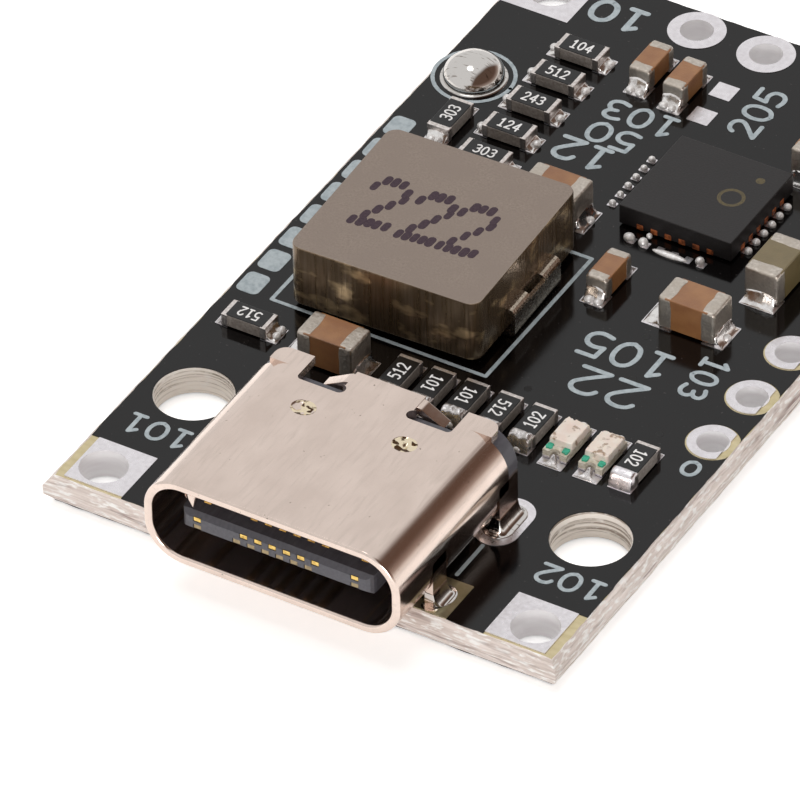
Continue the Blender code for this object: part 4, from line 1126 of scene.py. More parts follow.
        # Number, place, turn, height of a digit, its width and the pen.
        numbers = (("101", -7.05, 3.3, 180, 0.82, 1.15, 0.14),
                   ("102", 7.48, 3.33, 180, 0.82, 1.15, 0.14),
                   ("0", 8.02, 9.75, 180, 0.66, 1.25, 0.14),
                   ("103", 6.27, 13.7, -90, 0.86, 0.95, 0.15),
                   ("105", 3.62, 13.52, 180, 1.15, 1.1, 0.17),
                   ("22", 3.9, 11.82, 180, 1.22, 1.3, 0.17),
                   ("103", -1.78, 23.95, 180, 0.95, 1.1, 0.16),
                   ("50", -2.1, 22.7, 180, 0.95, 1.2, 0.16),
                   ("12", -2.5, 21.5, 180, 1.05, 1.2, 0.18),
                   ("205", 1.3, 26.0, 90, 0.95, 1.1, 0.16),
                   ("10", -5.0, 28.2, 180, 1.05, 1.2, 0.2))
        for text, x, y, turn, height, width, pen in numbers:
            Strokes.draw(body, Strokes.lines(text, height, width), pen,
                         at(on_board(x, y, level), turn), LEGEND)
        x, y = self.bar_start
        for index in range(self.bars):
            bar = rectangle(*self.bar, 0.2, (x, y + self.bar_pitch * index))
            body.take(prism([bar], -0.01, self.ink), LEGEND, at(on_board(0.0, 0.0, level)))
        body.finished("board_legend", "solder_mask", crease=30.0, weigh=False)

    def build_vias(self) -> None:
        """Makes the small tented holes as shallow dimples in the mask, their deeper black painted
        shade.
        """
        body = Body(VIA_PAINTED_SHADE)
        for x, y in self.vias:
            dimple = [(0.14, -0.004), (0.125, 0.004), (0.1, 0.002), (0.0, 0.001)]
            body.take(turned(dimple), VIA_PAINTED_SHADE, at(on_board(x, y, self.mask)))
        body.finished("board_tented_vias", "solder_mask", crease=60.0, weigh=False)


@dataclass
class SocketShell:
    """The socket's folded shell, with a rolled rim, rear notches, bent tabs and legs."""

    centre_x: float = 0.03
    front_y: float = -1.73
    width: float = 8.94
    height: float = 3.13
    radius: float = 1.315
    wall: float = 0.3
    length: float = 7.23
    lift: float = 0.05
    side_length: float = 6.55
    lip_half: float = 3.89
    lip_corner: float = 0.4
    shoulder: float = 0.6
    rim: float = 0.1
    notch_inner: float = 1.2
    notch_outer: float = 2.7
    notch_depth: float = 1.15
    notch_round: float = 0.16
    relief: float = 0.42
    relief_reach: float = 0.12
    tab_from_rear: float = 0.1
    tab_width: float = 0.46
    tab_length: float = 0.98
    tab_gauge: float = 0.27
    tab_root: float = 0.3
    tab_bend: float = 0.25
    tab_angle: float = 30.0
    spur_x: float = -2.74
    spur_width: float = 0.3
    spur_depth: float = 0.41
    spur_front: float = 0.04
    spur_gauge: float = 0.2
    stake_x: float = 1.77
    stake_y: float = 4.97
    stake: Triple = (0.42, 0.36, 0.09)
    leg_gauge: float = 0.3
    leg_depth: float = 0.9
    leg_top: float = 1.75
    leg_tip: float = 0.18
    window_across: float = 1.8
    window_past_leg: float = 0.3
    window_height: float = 1.865
    window_out: float = 0.45
    window_z: float = 0.4325

    @property
    def top(self) -> float:
        """Height of the roof over the board."""
        return self.lift + self.height

    @property
    def middle(self) -> float:
        """Height of the mouth's middle over the board."""
        return self.lift + self.height / 2

    def ring(self, inset: float, y: float) -> list[Vector]:
        """Draws the shell's upright outline at one place along it.

        Args:
            inset: How far it is drawn in.
            y: The place, from the rim.

        Returns:
            The outline's points.
        """
        outline = rectangle(self.width - 2 * inset, self.height - 2 * inset,
                            self.radius - inset, (0.0, 0.0), 16)
        return [Vector((x, y, z)) for x, z in outline]

    def tube(self) -> Shape:
        """Makes the drawn tube with its rolled rim.

        Returns:
            The tube.
        """
        steps = 4
        turns = [math.pi / 2 * step / steps for step in range(steps + 1)]
        bends = [(self.rim * (1 - math.cos(turn)), self.rim * (1 - math.sin(turn)))
                 for turn in turns]
        rings = [self.ring(0.0, self.length)]
        rings += [self.ring(inset, y) for inset, y in bends]
        rings += [self.ring(self.wall - y, inset) for inset, y in bends]
        rings += [self.ring(self.wall, self.length), rings[0]]
        bm = loft(rings, capped=False)
        bmesh.ops.remove_doubles(bm, verts=bm.verts, dist=WELD)
        bmesh.ops.recalc_face_normals(bm, faces=bm.faces)
        return bm

    def notch(self, side: int) -> Shape:
        """Makes the cutter of one rear notch with its round relief.

        Args:
            side: -1 for the left notch, 1 for the right one.

        Returns:
            The cutter.
        """
        rear = self.length + 0.5
        front = self.length - self.notch_depth
        relief = self.relief / 2
        outline = [(self.notch_outer, rear)]
        outline += arc((self.notch_outer - self.notch_round, front + self.notch_round),
                       self.notch_round, 0, -90, 6)
        outline += arc((self.notch_inner - self.relief_reach + relief, front + relief), relief,
                       270, 90, 12)
        outline += [(self.notch_inner, front + self.relief), (self.notch_inner, rear)]
        if side < 0:
            outline = [(-x, y) for x, y in reversed(outline)]
        return prism([outline], self.height / 2 - 0.6, self.height / 2 + 0.4)

    def tab(self, side: int) -> Shape:
        """Makes one tab, bent down at its root and then straight.

        Args:
            side: -1 for the left tab, 1 for the right one.

        Returns:
            The tab.
        """
        steps = 8
        angle = math.radians(self.tab_angle)
        stations = [(-self.tab_root, self.tab_bend, 0.0)]
        for step in range(steps + 1):
            turn = angle * step / steps
            stations.append((self.tab_bend * math.sin(turn), self.tab_bend * math.cos(turn), turn))
        blade = self.tab_length - self.tab_bend * angle
        across, down, turn = stations[-1]
        stations.append((across + blade * math.cos(turn), down - blade * math.sin(turn), turn))
        centre = self.height / 2 - self.wall / 2 - self.tab_bend
        along = self.length - self.tab_from_rear - self.tab_width / 2
        rings = []
        for across, down, turn in stations:
            ring = []
            for out, y in rectangle(self.tab_gauge, self.tab_width, 0.03, (0.0, 0.0), 2):
                ring.append(Vector((side * (self.notch_inner + across + out * math.sin(turn)),
                                    along + y, centre + down + out * math.cos(turn))))
            rings.append(ring)
        return loft(rings)

    def spur(self) -> Shape:
        """Makes the pointed spur that hangs from the roof's front lip.

        Returns:
            The spur.
        """
        root = self.height / 2 - self.wall / 2
        base = self.height / 2 - self.wall
        half = self.spur_width / 2
        side = [(-half, root), (-half, base), (-half * 0.8, base - 0.14),
                (0.0, base - 0.31), (half / 2, base - self.spur_depth),
                (half * 0.85, base - 0.2), (half, root)]
        front, rear, soft = self.spur_front, self.spur_front + self.spur_gauge, 0.04
        rings = []
        for y, thin in ((front, 0.8), (front + soft, 1.0), (rear - soft, 1.0), (rear, 0.8)):
            rings.append([Vector((self.spur_x - self.centre_x + x * thin, y, z)) for x, z in side])
        return loft(rings)

    def leg(self, leg: Leg, side: int) -> Shape:
        """Makes one leg with a chamfered tip.

        Args:
            leg: The leg's place and width.
            side: -1 for the left side, 1 for the right one.

        Returns:
            The leg.
        """
        half = leg.width / 2
        tip = self.leg_tip
        outline = [(half, self.leg_top), (-half, self.leg_top), (-half, tip - self.leg_depth),
                   (tip - half, -self.leg_depth), (half - tip, -self.leg_depth),
                   (half, tip - self.leg_depth)]
        outer = side * self.width / 2
        return loft([[Vector((x, y + leg.y - self.front_y, z - self.middle)) for y, z in outline]
                     for x in (outer - side * self.leg_gauge, outer)])

    def folded(self, legs: Sequence[Leg]) -> Shape:
        """Cuts the tube to the folded shell and joins its lip, tabs, legs and spur.

        Args:
            legs: The legs of each side.

        Returns:
            The shell in its own place, its rim at y = 0.
        """
        shell = self.tube()
        depth = self.length - self.side_length
        rear = block((self.width + 0.5, depth + 0.5, self.height + 0.5))
        shell = carved(shell, placed(rear, at((0.0, self.side_length + depth / 2 + 0.25, 0.0))))
        lip = rectangle(2 * self.lip_half, depth + 1.0, self.lip_corner,
                        (0.0, self.length - (depth + 1.0) / 2), 8)
        lip = [(x, max(y, self.side_length - 0.02)) for x, y in lip]
        shell = carved(shell, prism([lip], self.height / 2 - self.wall, self.height / 2), "UNION")
        for side in (-1, 1):
            shell = carved(shell, self.notch(side))
            for leg in legs:
                window = block((self.window_across, leg.width + self.window_past_leg,
                                self.window_height))
                shell = carved(shell, placed(window, at((
                    side * (self.width / 2 + self.window_out), leg.y - self.front_y,
                    self.window_z - self.middle))))
            shell = carved(shell, self.tab(side), "UNION")
            for leg in legs:
                shell = carved(shell, self.leg(leg, side), "UNION")
            pit = placed(ball(self.stake), at((side * self.stake_x, self.stake_y,
                                               self.height / 2)))
            shell = carved(shell, pit)
        return carved(shell, self.spur(), "UNION")

    def build(self, legs: Sequence[Leg]) -> None:
        """Makes the shell and the insulator's shoulders behind it.

        Args:
            legs: The legs of each side.
        """
        shell = self.folded(legs)
        move = at(on_board(self.centre_x, self.front_y, self.middle))
        body = Body(POLYMER)
        for side in (-1, 1):
            body.take(self.rear_shoulder(side), POLYMER, move)
        body.finished("socket_insulator_shoulders", "black_plastic", crease=40.0)
        body = Body(NICKEL, PUNCHED)
        body.take(shell, NICKEL, move)
        for side in (-1, 1):
            body.take(self.torn_floor(side), PUNCHED,
                      at(on_board(self.centre_x + side * self.stake_x,
                                  self.front_y + self.stake_y, self.top)))
        body.finished("socket_shell", "nickel", "usb_shell", crease=32.0)

    def rear_shoulder(self, side: int) -> Shape:
        """Makes the insulator's shoulder behind the shell's side.

        Args:
            side: -1 for the left side, 1 for the right one.

        Returns:
            The shoulder, which stands on the rear leg.
        """
        radius = self.radius - 0.04
        foot = self.leg_top - self.middle + 0.002
        centre = (self.width / 2 - self.radius, self.height / 2 - self.radius)
        outline = [(centre[0] + 0.2, foot), (self.width / 2 - 0.05, foot)]
        outline += arc(centre, radius, 8, 62, 10)
        outline += [(centre[0] + 0.2, centre[1] + radius * math.sin(math.radians(62)))]
        return loft([[Vector((side * x, y, z)) for x, z in outline]
                     for y in (self.side_length - 0.03, self.side_length + self.shoulder)])

    def torn_floor(self, side: int) -> Shape:
        """Makes the lumpy floor of a stake mark, torn by the punch.

        Args:
            side: -1 for the left mark, 1 for the right one.

        Returns:
            The floor.
        """
        across, along, deep = self.stake
        rings = []
        for share in (1.04, 0.96, 0.86, 0.72, 0.56, 0.4, 0.22, 0.08):
            ring = []
            for x, y in circle((0.0, 0.0), 2 * share):
                x, y = x * across, y * along
                lump = 0.1 * uneven(x, y, 5.0 + side, 0.3) + 0.03 * uneven(x, y, side, 0.14)
                fade = min(1.0, max(0.0, 4.5 * (1.0 - share)))
                level = -0.6 * deep * (1 - share ** 2) - 0.006
                ring.append(Vector((x, y, min(-0.004, level + lump * fade))))
            rings.append(ring)
        return loft([[Vector((p.x, p.y, -0.15)) for p in rings[0]]] + rings)


@dataclass
class PowerInductor:
    """The moulded inductor: a pressed block with a plain number in jetted dots."""

    x: float = -3.436
    y: float = 13.891
    turn: float = 1.8
    width: float = 6.62
    length: float = 6.64
    top: float = 2.49
    bottom: float = 0.25
    corner: float = 0.42
    edge: float = 0.06
    drop: float = 0.26
    drop_reach: float = 0.1
    drop_stray: float = 0.02
    drop_pitch: Point = (0.275, 0.355)
    number_turn: float = 7.0
    places: tuple[Point, ...] = ((-5.12, 13.66), (-3.52, 13.72), (-2.1, 13.84))
    rows: tuple[str, ...] = ("01110", "10001", "00001", "00010", "00100", "01000", "11111")

    def build(self) -> None:
        """Makes the block and its number."""
        height = self.top - self.bottom
        rings = []
        for inset, z in ((self.edge, 0.0), (self.edge * 0.3, self.edge * 0.3), (0.0, self.edge),
                         (0.0, height * 0.35), (0.0, height * 0.7), (0.0, height - self.edge),
                         (self.edge * 0.3, height - self.edge * 0.3), (self.edge, height)):
            outline = rectangle(self.width - 2 * inset, self.length - 2 * inset,
                                self.corner - inset, (0.0, 0.0), 10)
            rings.append([Vector((x, y, z)) for x, y in outline])
        shape = loft(rings)
        shape.normal_update()
        for face in shape.faces:
            face.material_index = 0 if face.normal.z > 0.8 else 1
        body = Body(POWDER, POWDER_WALL, DARK_INK)
        body.take(shape, None, at(on_board(self.x, self.y, self.bottom), self.turn))
        self.print_number(body)
        body.finished("inductor_block", "powder_iron", "inductor_core", crease=30.0)

    def print_number(self, body: Body) -> None:
        """Prints a digit at each place, dot by dot, as a jet leaves it.

        Args:
            body: The piece that takes the dots.
        """
        rng = random.Random(21)
        across, along = self.drop_pitch
        for x, y in self.places:
            move = at(on_board(x, y, self.top), self.number_turn)
            for row, dots in enumerate(self.rows):
                for column, dot in enumerate(dots):
                    if dot == "0":
                        continue
                    px = (column - 2) * across + rng.uniform(-self.drop_stray, self.drop_stray)
                    py = (3 - row) * along + rng.uniform(-self.drop_stray, self.drop_stray)
                    reach = self.drop_reach + rng.uniform(0.0, self.drop_stray)
                    mark = Strokes.capsule((px - 0.02, py - reach), (px + 0.02, py + reach),
                                           self.drop * rng.uniform(0.88, 1.05), -0.01,
                                           0.004 + 0.001 * ((row + 2 * column) % 5), 5)
                    body.take(mark, DARK_INK, move)


@dataclass
class ChargerChip:
    """The charger chip: moulded body, sawn leads, beads of solder and the lead-one dot."""

    x: float = 2.25
    y: float = 21.0
    size: float = 4.0
    height: float = 0.75
    leads: int = 6
    pitch: float = 0.5
    lead: Triple = (0.4, 0.24, 0.2)
    ring: Point = (0.89, 0.0)
    dot: Point = (1.28, 1.17)
    pads_out: tuple[float, ...] = (0.1, 0.1, 0.66, 0.52)

    def build(self) -> None:
        """Makes the chip, its leads and their solder."""
        body = Body(COMPOUND, DOT, COPPER)
        body.take(block((self.size, self.size, self.height - 0.02), 0.035), COMPOUND,
                  at((0.0, 0.0, self.height / 2 + 0.01)))
        ring = [(0.45, 0.0), (0.43, 0.003), (0.35, 0.003), (0.33, 0.0)]
        dot = [(0.15, 0.0), (0.13, 0.003), (0.0, 0.003)]
        body.take(turned(ring, closed=True), DOT, at((*self.ring, self.height)))
        body.take(turned(dot), DOT, at((*self.dot, self.height)))
        for quarter in range(4):
            for index in range(self.leads):
                body.take(block(self.lead, 0.02, 2), COPPER,
                          self.spot(quarter, self.size / 2 - 0.185, index, 0.12))
        placed(body.bm, at(on_board(self.x, self.y, SEAT)))
        body.finished("charger_chip_body", "chip_epoxy", "charger_chip", crease=35.0)
        self.build_solder()

    def spot(self, quarter: int, out: float, index: float, height: float) -> Matrix:
        """Finds a lead's place on one of the chip's sides.

        Args:
            quarter: The side, counted in quarter turns from the right.
            out: How far it is from the chip's middle.
            index: The lead, counted along the side.
            height: Its height over the seat.

        Returns:
            The move to that place.
        """
        across = (index - (self.leads - 1) / 2) * self.pitch
        return (Matrix.Rotation(math.radians(90 * quarter), 4, "Z")
                @ Matrix.Translation((out, across, height)))

    def pads(self) -> list[Pad]:
        """Lists the lands on the chip's four sides.

        Returns:
            The lands.
        """
        made = []
        for quarter, out in enumerate(self.pads_out):
            for index in range(self.leads):
                place = self.spot(quarter, self.size / 2 + out, index, 0.0).translation
                made.append(Pad(self.x + place.x, self.y + place.y, 0.3, 0.25, 90.0 * quarter))
        return made

    def build_solder(self) -> None:
        """Makes round beads at the leads; in front one long bead joins three of them."""
        body = Body(BEAD_PAINTED_HIGHLIGHT)
        rng = random.Random(5)
        # Side, way out from the body, lead, height and half sizes of each bead.
        beads = []
        for quarter, out in ((0, 0.2), (1, 0.2), (2, 0.66)):
            for index in range(self.leads):
                grow = rng.uniform(0.9, 1.1)
                beads.append((quarter, out, index, 0.08, (0.13 * grow, 0.12 * grow, 0.13)))
        beads += [(3, 0.5, -0.2, 0.1, (0.17, 0.19, 0.16)), (3, 0.5, 0.8, 0.1, (0.16, 0.16, 0.16)),
                  (3, 0.2, 0.9, 0.16, (0.1, 0.1, 0.1)), (3, 0.46, 4.8, 0.1, (0.15, 0.15, 0.15)),
                  (3, 0.6, 2.8, 0.04, (0.13, 0.62, 0.09))]
        for quarter, out, index, height, size in beads:
            body.take(ball(size), BEAD_PAINTED_HIGHLIGHT, at(on_board(self.x, self.y))
                      @ self.spot(quarter, self.size / 2 + out, index, height))
        body.finished("charger_chip_solder", "tin", crease=60.0, weigh=False)


@dataclass(frozen=True)
class Fillet:
    """Solder frozen between a land and a part's end.

    Climb is its height against the part's. Over is how far it laps over the part's top. Neck
    is its width at the part against the width at its foot. Crumple is its unevenness.
    """

    reach: float = 0.3
    climb: float = 0.35
    over: float = 0.0
    neck: float = 0.92
    crumple: float = 0.03
    finish: Finish = SOLDER
    beads: int = 0

    def shape(self, width: float, height: float, seed: int) -> Shape:
        """Returns the solder with the part's end at x = 0 and its foot at x = reach.

        Args:
            width: Width of the foot.
            height: Height of the part.
            seed: Sets the small unevenness.

        Returns:
            The solder.
        """
        across, out = 14, 12
        top = height * self.climb
        bm = bmesh.new()
        grid = []
        for i in range(out + 1):
            share = i / out
            row = []
            for j in range(across + 1):
                side = 2 * j / across - 1
                x = -self.over - 0.02 + share * (self.reach + self.over + 0.02)
                away = max(0.0, x) / self.reach
                wide = self.neck + (1 - self.neck) * away ** 2
                y = side * width / 2 * wide * (1 - 0.04 * math.sin(math.pi * away))
                if self.over > 0.0:
                    level = top * (1 - away ** 3.2) + 0.025 * (x < 0.02) * (1 - side ** 4)
                else:
                    level = top * (1 - away) ** 2.2 * (1 - 0.25 * side ** 2)
                edge = min(1.0, 5 * (1 - abs(side)), 6 * (1 - share), 6 * share + 0.2)
                lump = self.crumple * uneven(x, y, seed * 1.7, 0.13) * edge
                row.append(bm.verts.new((x * (1 - 0.05 * side ** 2), y,
                                         0.015 + level + 0.04 * edge + lump)))
            grid.append(row)
        for first, second in zip(grid, grid[1:]):
            for j in range(across):
                bm.faces.new((first[j], second[j], second[j + 1], first[j + 1]))
        rim = [edge for edge in bm.edges if edge.is_boundary]
        for item in bmesh.ops.extrude_edge_only(bm, edges=rim)["geom"]:
            if isinstance(item, bmesh.types.BMVert):
                item.co.z = -0.03
        bmesh.ops.recalc_face_normals(bm, faces=bm.faces)
        return bm


# Where beads stand: their pitch across the foot, and their way out as a share of the reach.
BEAD_PITCH = 0.32
BEAD_OUT = 0.65

LOW = Fillet()
THIN = Fillet(0.22, 0.5, neck=1.0, finish=CRUMPLED)
LAPPED = Fillet(0.3, 1.0, 0.13, 0.96, 0.05, CRUMPLED, 1)
BEADED = Fillet(0.28, 0.35, beads=1)
TWO_BEADS = Fillet(0.34, 0.55, beads=2)
STAR = Fillet(0.34, 0.35, 0.0, 0.22, 0.012, CRUMPLED)
LONG = Fillet(0.56, 0.12)
SCOOPED = Fillet(0.3, 1.0, 0.13, 1.0, 0.02, TINNED)


@dataclass
class ChipPart:
    """A chip part on two lands: its name, place, turn and sizes, and the solder at its ends."""

    name: str
    x: float
    y: float
    turn: float
    length: float
    width: float
    height: float
    cap: float
    seed: int = 0
    first: Fillet = LOW
    second: Fillet = LOW

    def place(self) -> Matrix:
        """Returns the part's place on its lands."""
        return at(on_board(self.x, self.y, SEAT), self.turn)

    def pads(self) -> list[Pad]:
        """Lists the two lands under the part's ends.

        Returns:
            The lands.
        """
        made = []
        for side, solder in ((-1, self.first), (1, self.second)):
            reach = self.cap + solder.reach + 0.02
            offset = self.length / 2 - self.cap + reach / 2
            along = Matrix.Rotation(math.radians(self.turn), 2) @ Vector((side * offset, 0.0))
            made.append(Pad(self.x + along.x, self.y + along.y, reach, self.width, self.turn))
        return made

    def build_solder(self) -> None:
        """Makes the solder at both ends."""
        finishes = tuple(dict.fromkeys((self.first.finish, self.second.finish, BEAD_PAINTED_HIGHLIGHT)))
        body = Body(*finishes)
        for side, solder in ((-1, self.first), (1, self.second)):
            rng = random.Random(self.seed * 2 + side)
            spin = Matrix.Rotation(0.0 if side > 0 else math.pi, 4, "Z")
            move = (at(on_board(self.x, self.y, FOOT), self.turn) @ spin
                    @ Matrix.Translation((self.length / 2, 0.0, 0.0)))
            body.take(solder.shape(self.width * rng.uniform(0.94, 1.0), self.height + 0.04,
                                   self.seed * 2 + side), solder.finish, move)
            for bead in range(solder.beads):
                size = (rng.uniform(0.13, 0.17), rng.uniform(0.13, 0.17), rng.uniform(0.12, 0.16))
                across = (bead - (solder.beads - 1) / 2) * BEAD_PITCH
                across += rng.uniform(-0.1, 0.1) / solder.beads
                spot = Vector((BEAD_OUT * solder.reach, across, 0.08))
                body.take(ball(size), BEAD_PAINTED_HIGHLIGHT, move @ Matrix.Translation(spot))
        body.finished(f"{self.name}_solder", "tin", crease=70.0, weigh=False)


@dataclass
class Resistor(ChipPart):
    """A chip resistor with a plain number on its black coat."""

    code: str = "102"
    number_turn: float = 0.0
    bare: float = 0.14
    coat: float = 0.1
    digit: Triple = (0.4, 0.74, 0.22)
    pen: float = 0.058

    def build(self) -> None:
        """Makes the slab, coat, caps, number and solder."""
        body = Body(SLAB, GLAZE, CAP_TIN, CODE)
        body.take(block((self.length - 0.06, self.width - 0.02, self.height - 0.04), 0.015, 2),
                  SLAB, at((0.0, 0.0, self.height / 2 - 0.02)))
        body.take(block((self.length - 2 * self.bare, self.width - 0.05, self.coat), 0.02), GLAZE,
                  at((0.0, 0.0, self.height - self.coat / 2 - 0.012)))
        for side in (-1, 1):
            cap = block((self.cap, self.width, self.height - 0.02), 0.03)
            body.take(cap, CAP_TIN, at((side * (self.length - self.cap) / 2, 0.0,
                                        self.height / 2 - 0.01)))
        Strokes.draw(body, Strokes.lines(self.code, *self.digit), self.pen,
                     at((0.0, 0.0, self.height - 0.012), self.number_turn), CODE, 0.006)
        placed(body.bm, self.place())
        body.finished(f"{self.name}_body", "resistor_black", self.name, crease=40.0)
        self.build_solder()


@dataclass
class Capacitor(ChipPart):
    """A ceramic capacitor: a fired brick between two dipped and plated ends."""

    ceramic: Ceramic = Ceramic.BROWN

    def build(self) -> None:
        """Makes the brick, its ends and solder."""
        finish = self.ceramic.value
        slot = "olive_ceramic" if self.ceramic is Ceramic.OLIVE else "brown_ceramic"
        body = Body(finish, DIPPED_TIN)
        brick = block((self.length - self.cap, self.width - 0.05, self.height - 0.05), 0.04)
        body.take(brick, finish, at((0.0, 0.0, self.height / 2)))
        for side in (-1, 1):
            body.take(self.dipped_end(side), DIPPED_TIN)
        placed(body.bm, self.place())
        body.finished(f"{self.name}_body", slot, self.name, crease=50.0)
        self.build_solder()

    def dipped_end(self, side: int) -> Shape:
        """Makes a plated end: rounded, a little lumpy, wavy at its edge.

        Args:
            side: -1 or 1 for the end along the part.

        Returns:
            The end.
        """
        outline = dense(rectangle(self.width, self.height, 0.11, steps=4), 0.1)
        inner = self.length / 2 - self.cap
        stations = ((inner - 0.02, 0.05, 1.0), (inner, 0.012, 1.0), (inner + 0.05, 0.004, 1.0),
                    (inner + self.cap * 0.5, 0.008, 0.3), (self.length / 2 - 0.1, 0.006, 0.0),
                    (self.length / 2 - 0.04, 0.022, 0.0), (self.length / 2 - 0.012, 0.055, 0.0),
                    (self.length / 2, 0.13, 0.0))
        rings = []
        for x, inset, wave in stations:
            ring = []
            for y, z in outline:
                pull = 1 - (2 * inset + 0.012 * (1 + uneven(x, y, z, 0.25))) / self.width
                shift = 0.05 * wave * uneven(self.seed, y, z, 0.35)
                ring.append(Vector((side * (x + shift), y * pull, self.height / 2 + z * pull)))
            rings.append(ring)
        return loft(rings)


@dataclass
class Lamp(ChipPart):
    """A chip lamp: notched white base, milky lens, green polarity ink and low solder."""

    base: float = 0.26
    notch: float = 0.18
    strip: float = 0.3
    lens: Triple = (1.2, 0.85, 0.5)
    lens_shift: float = 0.14
    ragged: float = 0.05
    patch: Point = (0.24, 0.2)
    patch_place: Point = (-0.56, 0.28)

    def build(self) -> None:
        """Makes the base, lens, ink and solder."""
        body = Body(LAMP_BASE, LENS, GREEN, TINNED)
        body.take(prism([self.base_outline(0.0)], 0.0, self.base), LAMP_BASE)
        for side in (-1, 1):
            inner = side * (self.length / 2 - self.strip)
            reach = self.length / 2 - self.notch - 0.1
            end = [(x, y) for x, y in self.base_outline(0.012) if side * x > reach]
            body.take(prism([end + [(inner, end[-1][1]), (inner, end[0][1])]], -0.01, 0.05),
                      TINNED)
        long, wide, high = self.lens
        outline = dense(rectangle(long, wide, 0.08, steps=3), 0.07)
        rings = []
        for inset, z in ((0.0, self.base - 0.02), (0.012, high - 0.07), (0.03, high - 0.02),
                         (0.07, high)):
            ring = []
            for x, y in outline:
                rough = (0.012 + self.ragged * (x > 0.45 * long)) * uneven(x, y, self.seed, 0.1)
                pull = 1 - 2 * (inset + rough + 0.01) / wide
                ring.append(Vector((x * pull + self.lens_shift, y * pull, z)))
            rings.append(ring)
        body.take(loft(rings), LENS)
        x_patch, y_patch = self.patch_place
        for side in (-1, 1):
            patch = [(x * (1 + 0.3 * uneven(x, y, self.seed + side, 0.1)),
                      y * (1 + 0.3 * uneven(y, x, self.seed - side, 0.1)))
                     for x, y in dense(rectangle(*self.patch, 0.05), 0.04)]
            body.take(prism([patch], 0.0, self.base + 0.05), GREEN,
                      at((x_patch, side * y_patch, 0.0)))
        placed(body.bm, self.place())
        body.finished(f"{self.name}_body", "cream_lens", self.name, crease=40.0)
        self.build_solder()

    def base_outline(self, grow: float) -> Outline:
        """Draws the base with a round notch in each end.

        Args:
            grow: How far the outline is moved out.

        Returns:
            The base's outline.
        """
        half = self.length / 2 - 0.02 + grow
        side = self.width / 2 - 0.01 + grow
        radius = self.notch - grow
        return ([(half, -side)] + arc((half, 0.0), radius, 270, 90, 12)
                + [(half, side), (-half, side)] + arc((-half, 0.0), radius, 90, -90, 12)
                + [(-half, -side)])


@dataclass
class SolderMound:
    """The rounded mound of solder by the left edge."""

    x: float = -7.45
    y: float = 23.25
    diameter: float = 2.0
    height: float = 0.75
    skirt: float = 0.1

    def build(self) -> None:
        """Makes the mound, a smooth dome that runs out flat on its land."""
        steps = 20
        radius = self.diameter / 2
        profile = [(radius + self.skirt, -0.02), (radius + self.skirt - 0.02, 0.01)]
        for step in range(steps, -1, -1):
            angle = math.pi / 2 * step / steps
            profile.append((radius * math.sin(angle),
                            0.02 + self.height * math.cos(angle) ** 0.9))
        dome = turned(profile)
        for vert in dome.verts:
            if vert.co.z > 0.05:
                vert.co *= 1.0 + 0.03 * uneven(vert.co.x, vert.co.y, vert.co.z, 0.8)
        body = Body(POOL)
        body.take(dome, POOL, at(on_board(self.x, self.y, FOOT)))
        body.finished("solder_mound_body", "tin", "solder_mound", crease=60.0, weigh=False)


def chip_parts() -> list[ChipPart]:
    """Lists every resistor, lamp and capacitor of the board.

    Returns:
        The parts.
    """
    # Length, width, height and length of the ends of each kind.
    small = (1.6, 0.8, 0.45, 0.22)
    large = (2.0, 1.22, 1.22, 0.46)
    middle = (1.6, 0.8, 0.8, 0.33)
    parts: list[ChipPart] = []
    row = (("512", 0.0), ("101", 180.0), ("101", 180.0), ("512", 180.0), ("102", 0.0))
    for index, (code, turn) in enumerate(row):
        parts.append(Resistor(f"resistor_row_{index + 1}", -1.78 + 1.195 * index, 8.92, 90.0,
                              *small, index, LAPPED, THIN, code, turn))
    parts.append(Resistor("resistor_row_end", 6.62, 8.88, 90.0, *small, 6, SCOOPED, THIN,
                          "102", 180.0))
    parts.append(Resistor("resistor_side", -7.2, 9.05, 0.0, *small, 7, THIN, TWO_BEADS,
                          "512", 180.0))
    for index, code in enumerate(("303", "124", "243", "512", "104")):
        parts.append(Resistor(f"resistor_bank_{index + 1}", -4.92, 19.6 + 1.53 * index, 0.0,
                              *small, 8 + index, BEADED, BEADED, code))
    parts.append(Resistor("resistor_outer", -6.85, 20.75, 90.0, *small, 13, TWO_BEADS, LOW,
                          "303"))
    for index in range(2):
        parts.append(Lamp(f"led_{index + 1}", 4.22 + 1.25 * index, 8.82, 90.0,
                          1.6, 0.85, 0.6, 0.27, 14 + index, STAR, BEADED))
    for index, (name, x, y, turn, ceramic, first, second) in enumerate((
            ("capacitor_input", -4.05, 8.85, 0.0, Ceramic.BROWN, LONG, LOW),
            ("capacitor_switch", -1.75, 18.6, 0.0, Ceramic.BROWN, LOW, BEADED),
            ("capacitor_output", 4.8, 15.75, 0.0, Ceramic.BROWN, LONG, BEADED),
            ("capacitor_supply", 6.0, 18.75, 90.0, Ceramic.OLIVE, LOW, LOW),
            ("capacitor_end", 4.4, 24.6, 90.0, Ceramic.BROWN, LOW, LOW))):
        parts.append(Capacitor(name, x, y, turn, *large, 20 + index, first, second, ceramic))
    for index, (name, x, y) in enumerate((("capacitor_boost", 1.45, 16.25),
                                          ("capacitor_filter_1", -2.55, 26.0),
                                          ("capacitor_filter_2", -1.22, 25.8))):
        parts.append(Capacitor(name, x, y, 90.0, *middle, 30 + index, TWO_BEADS))
    return parts


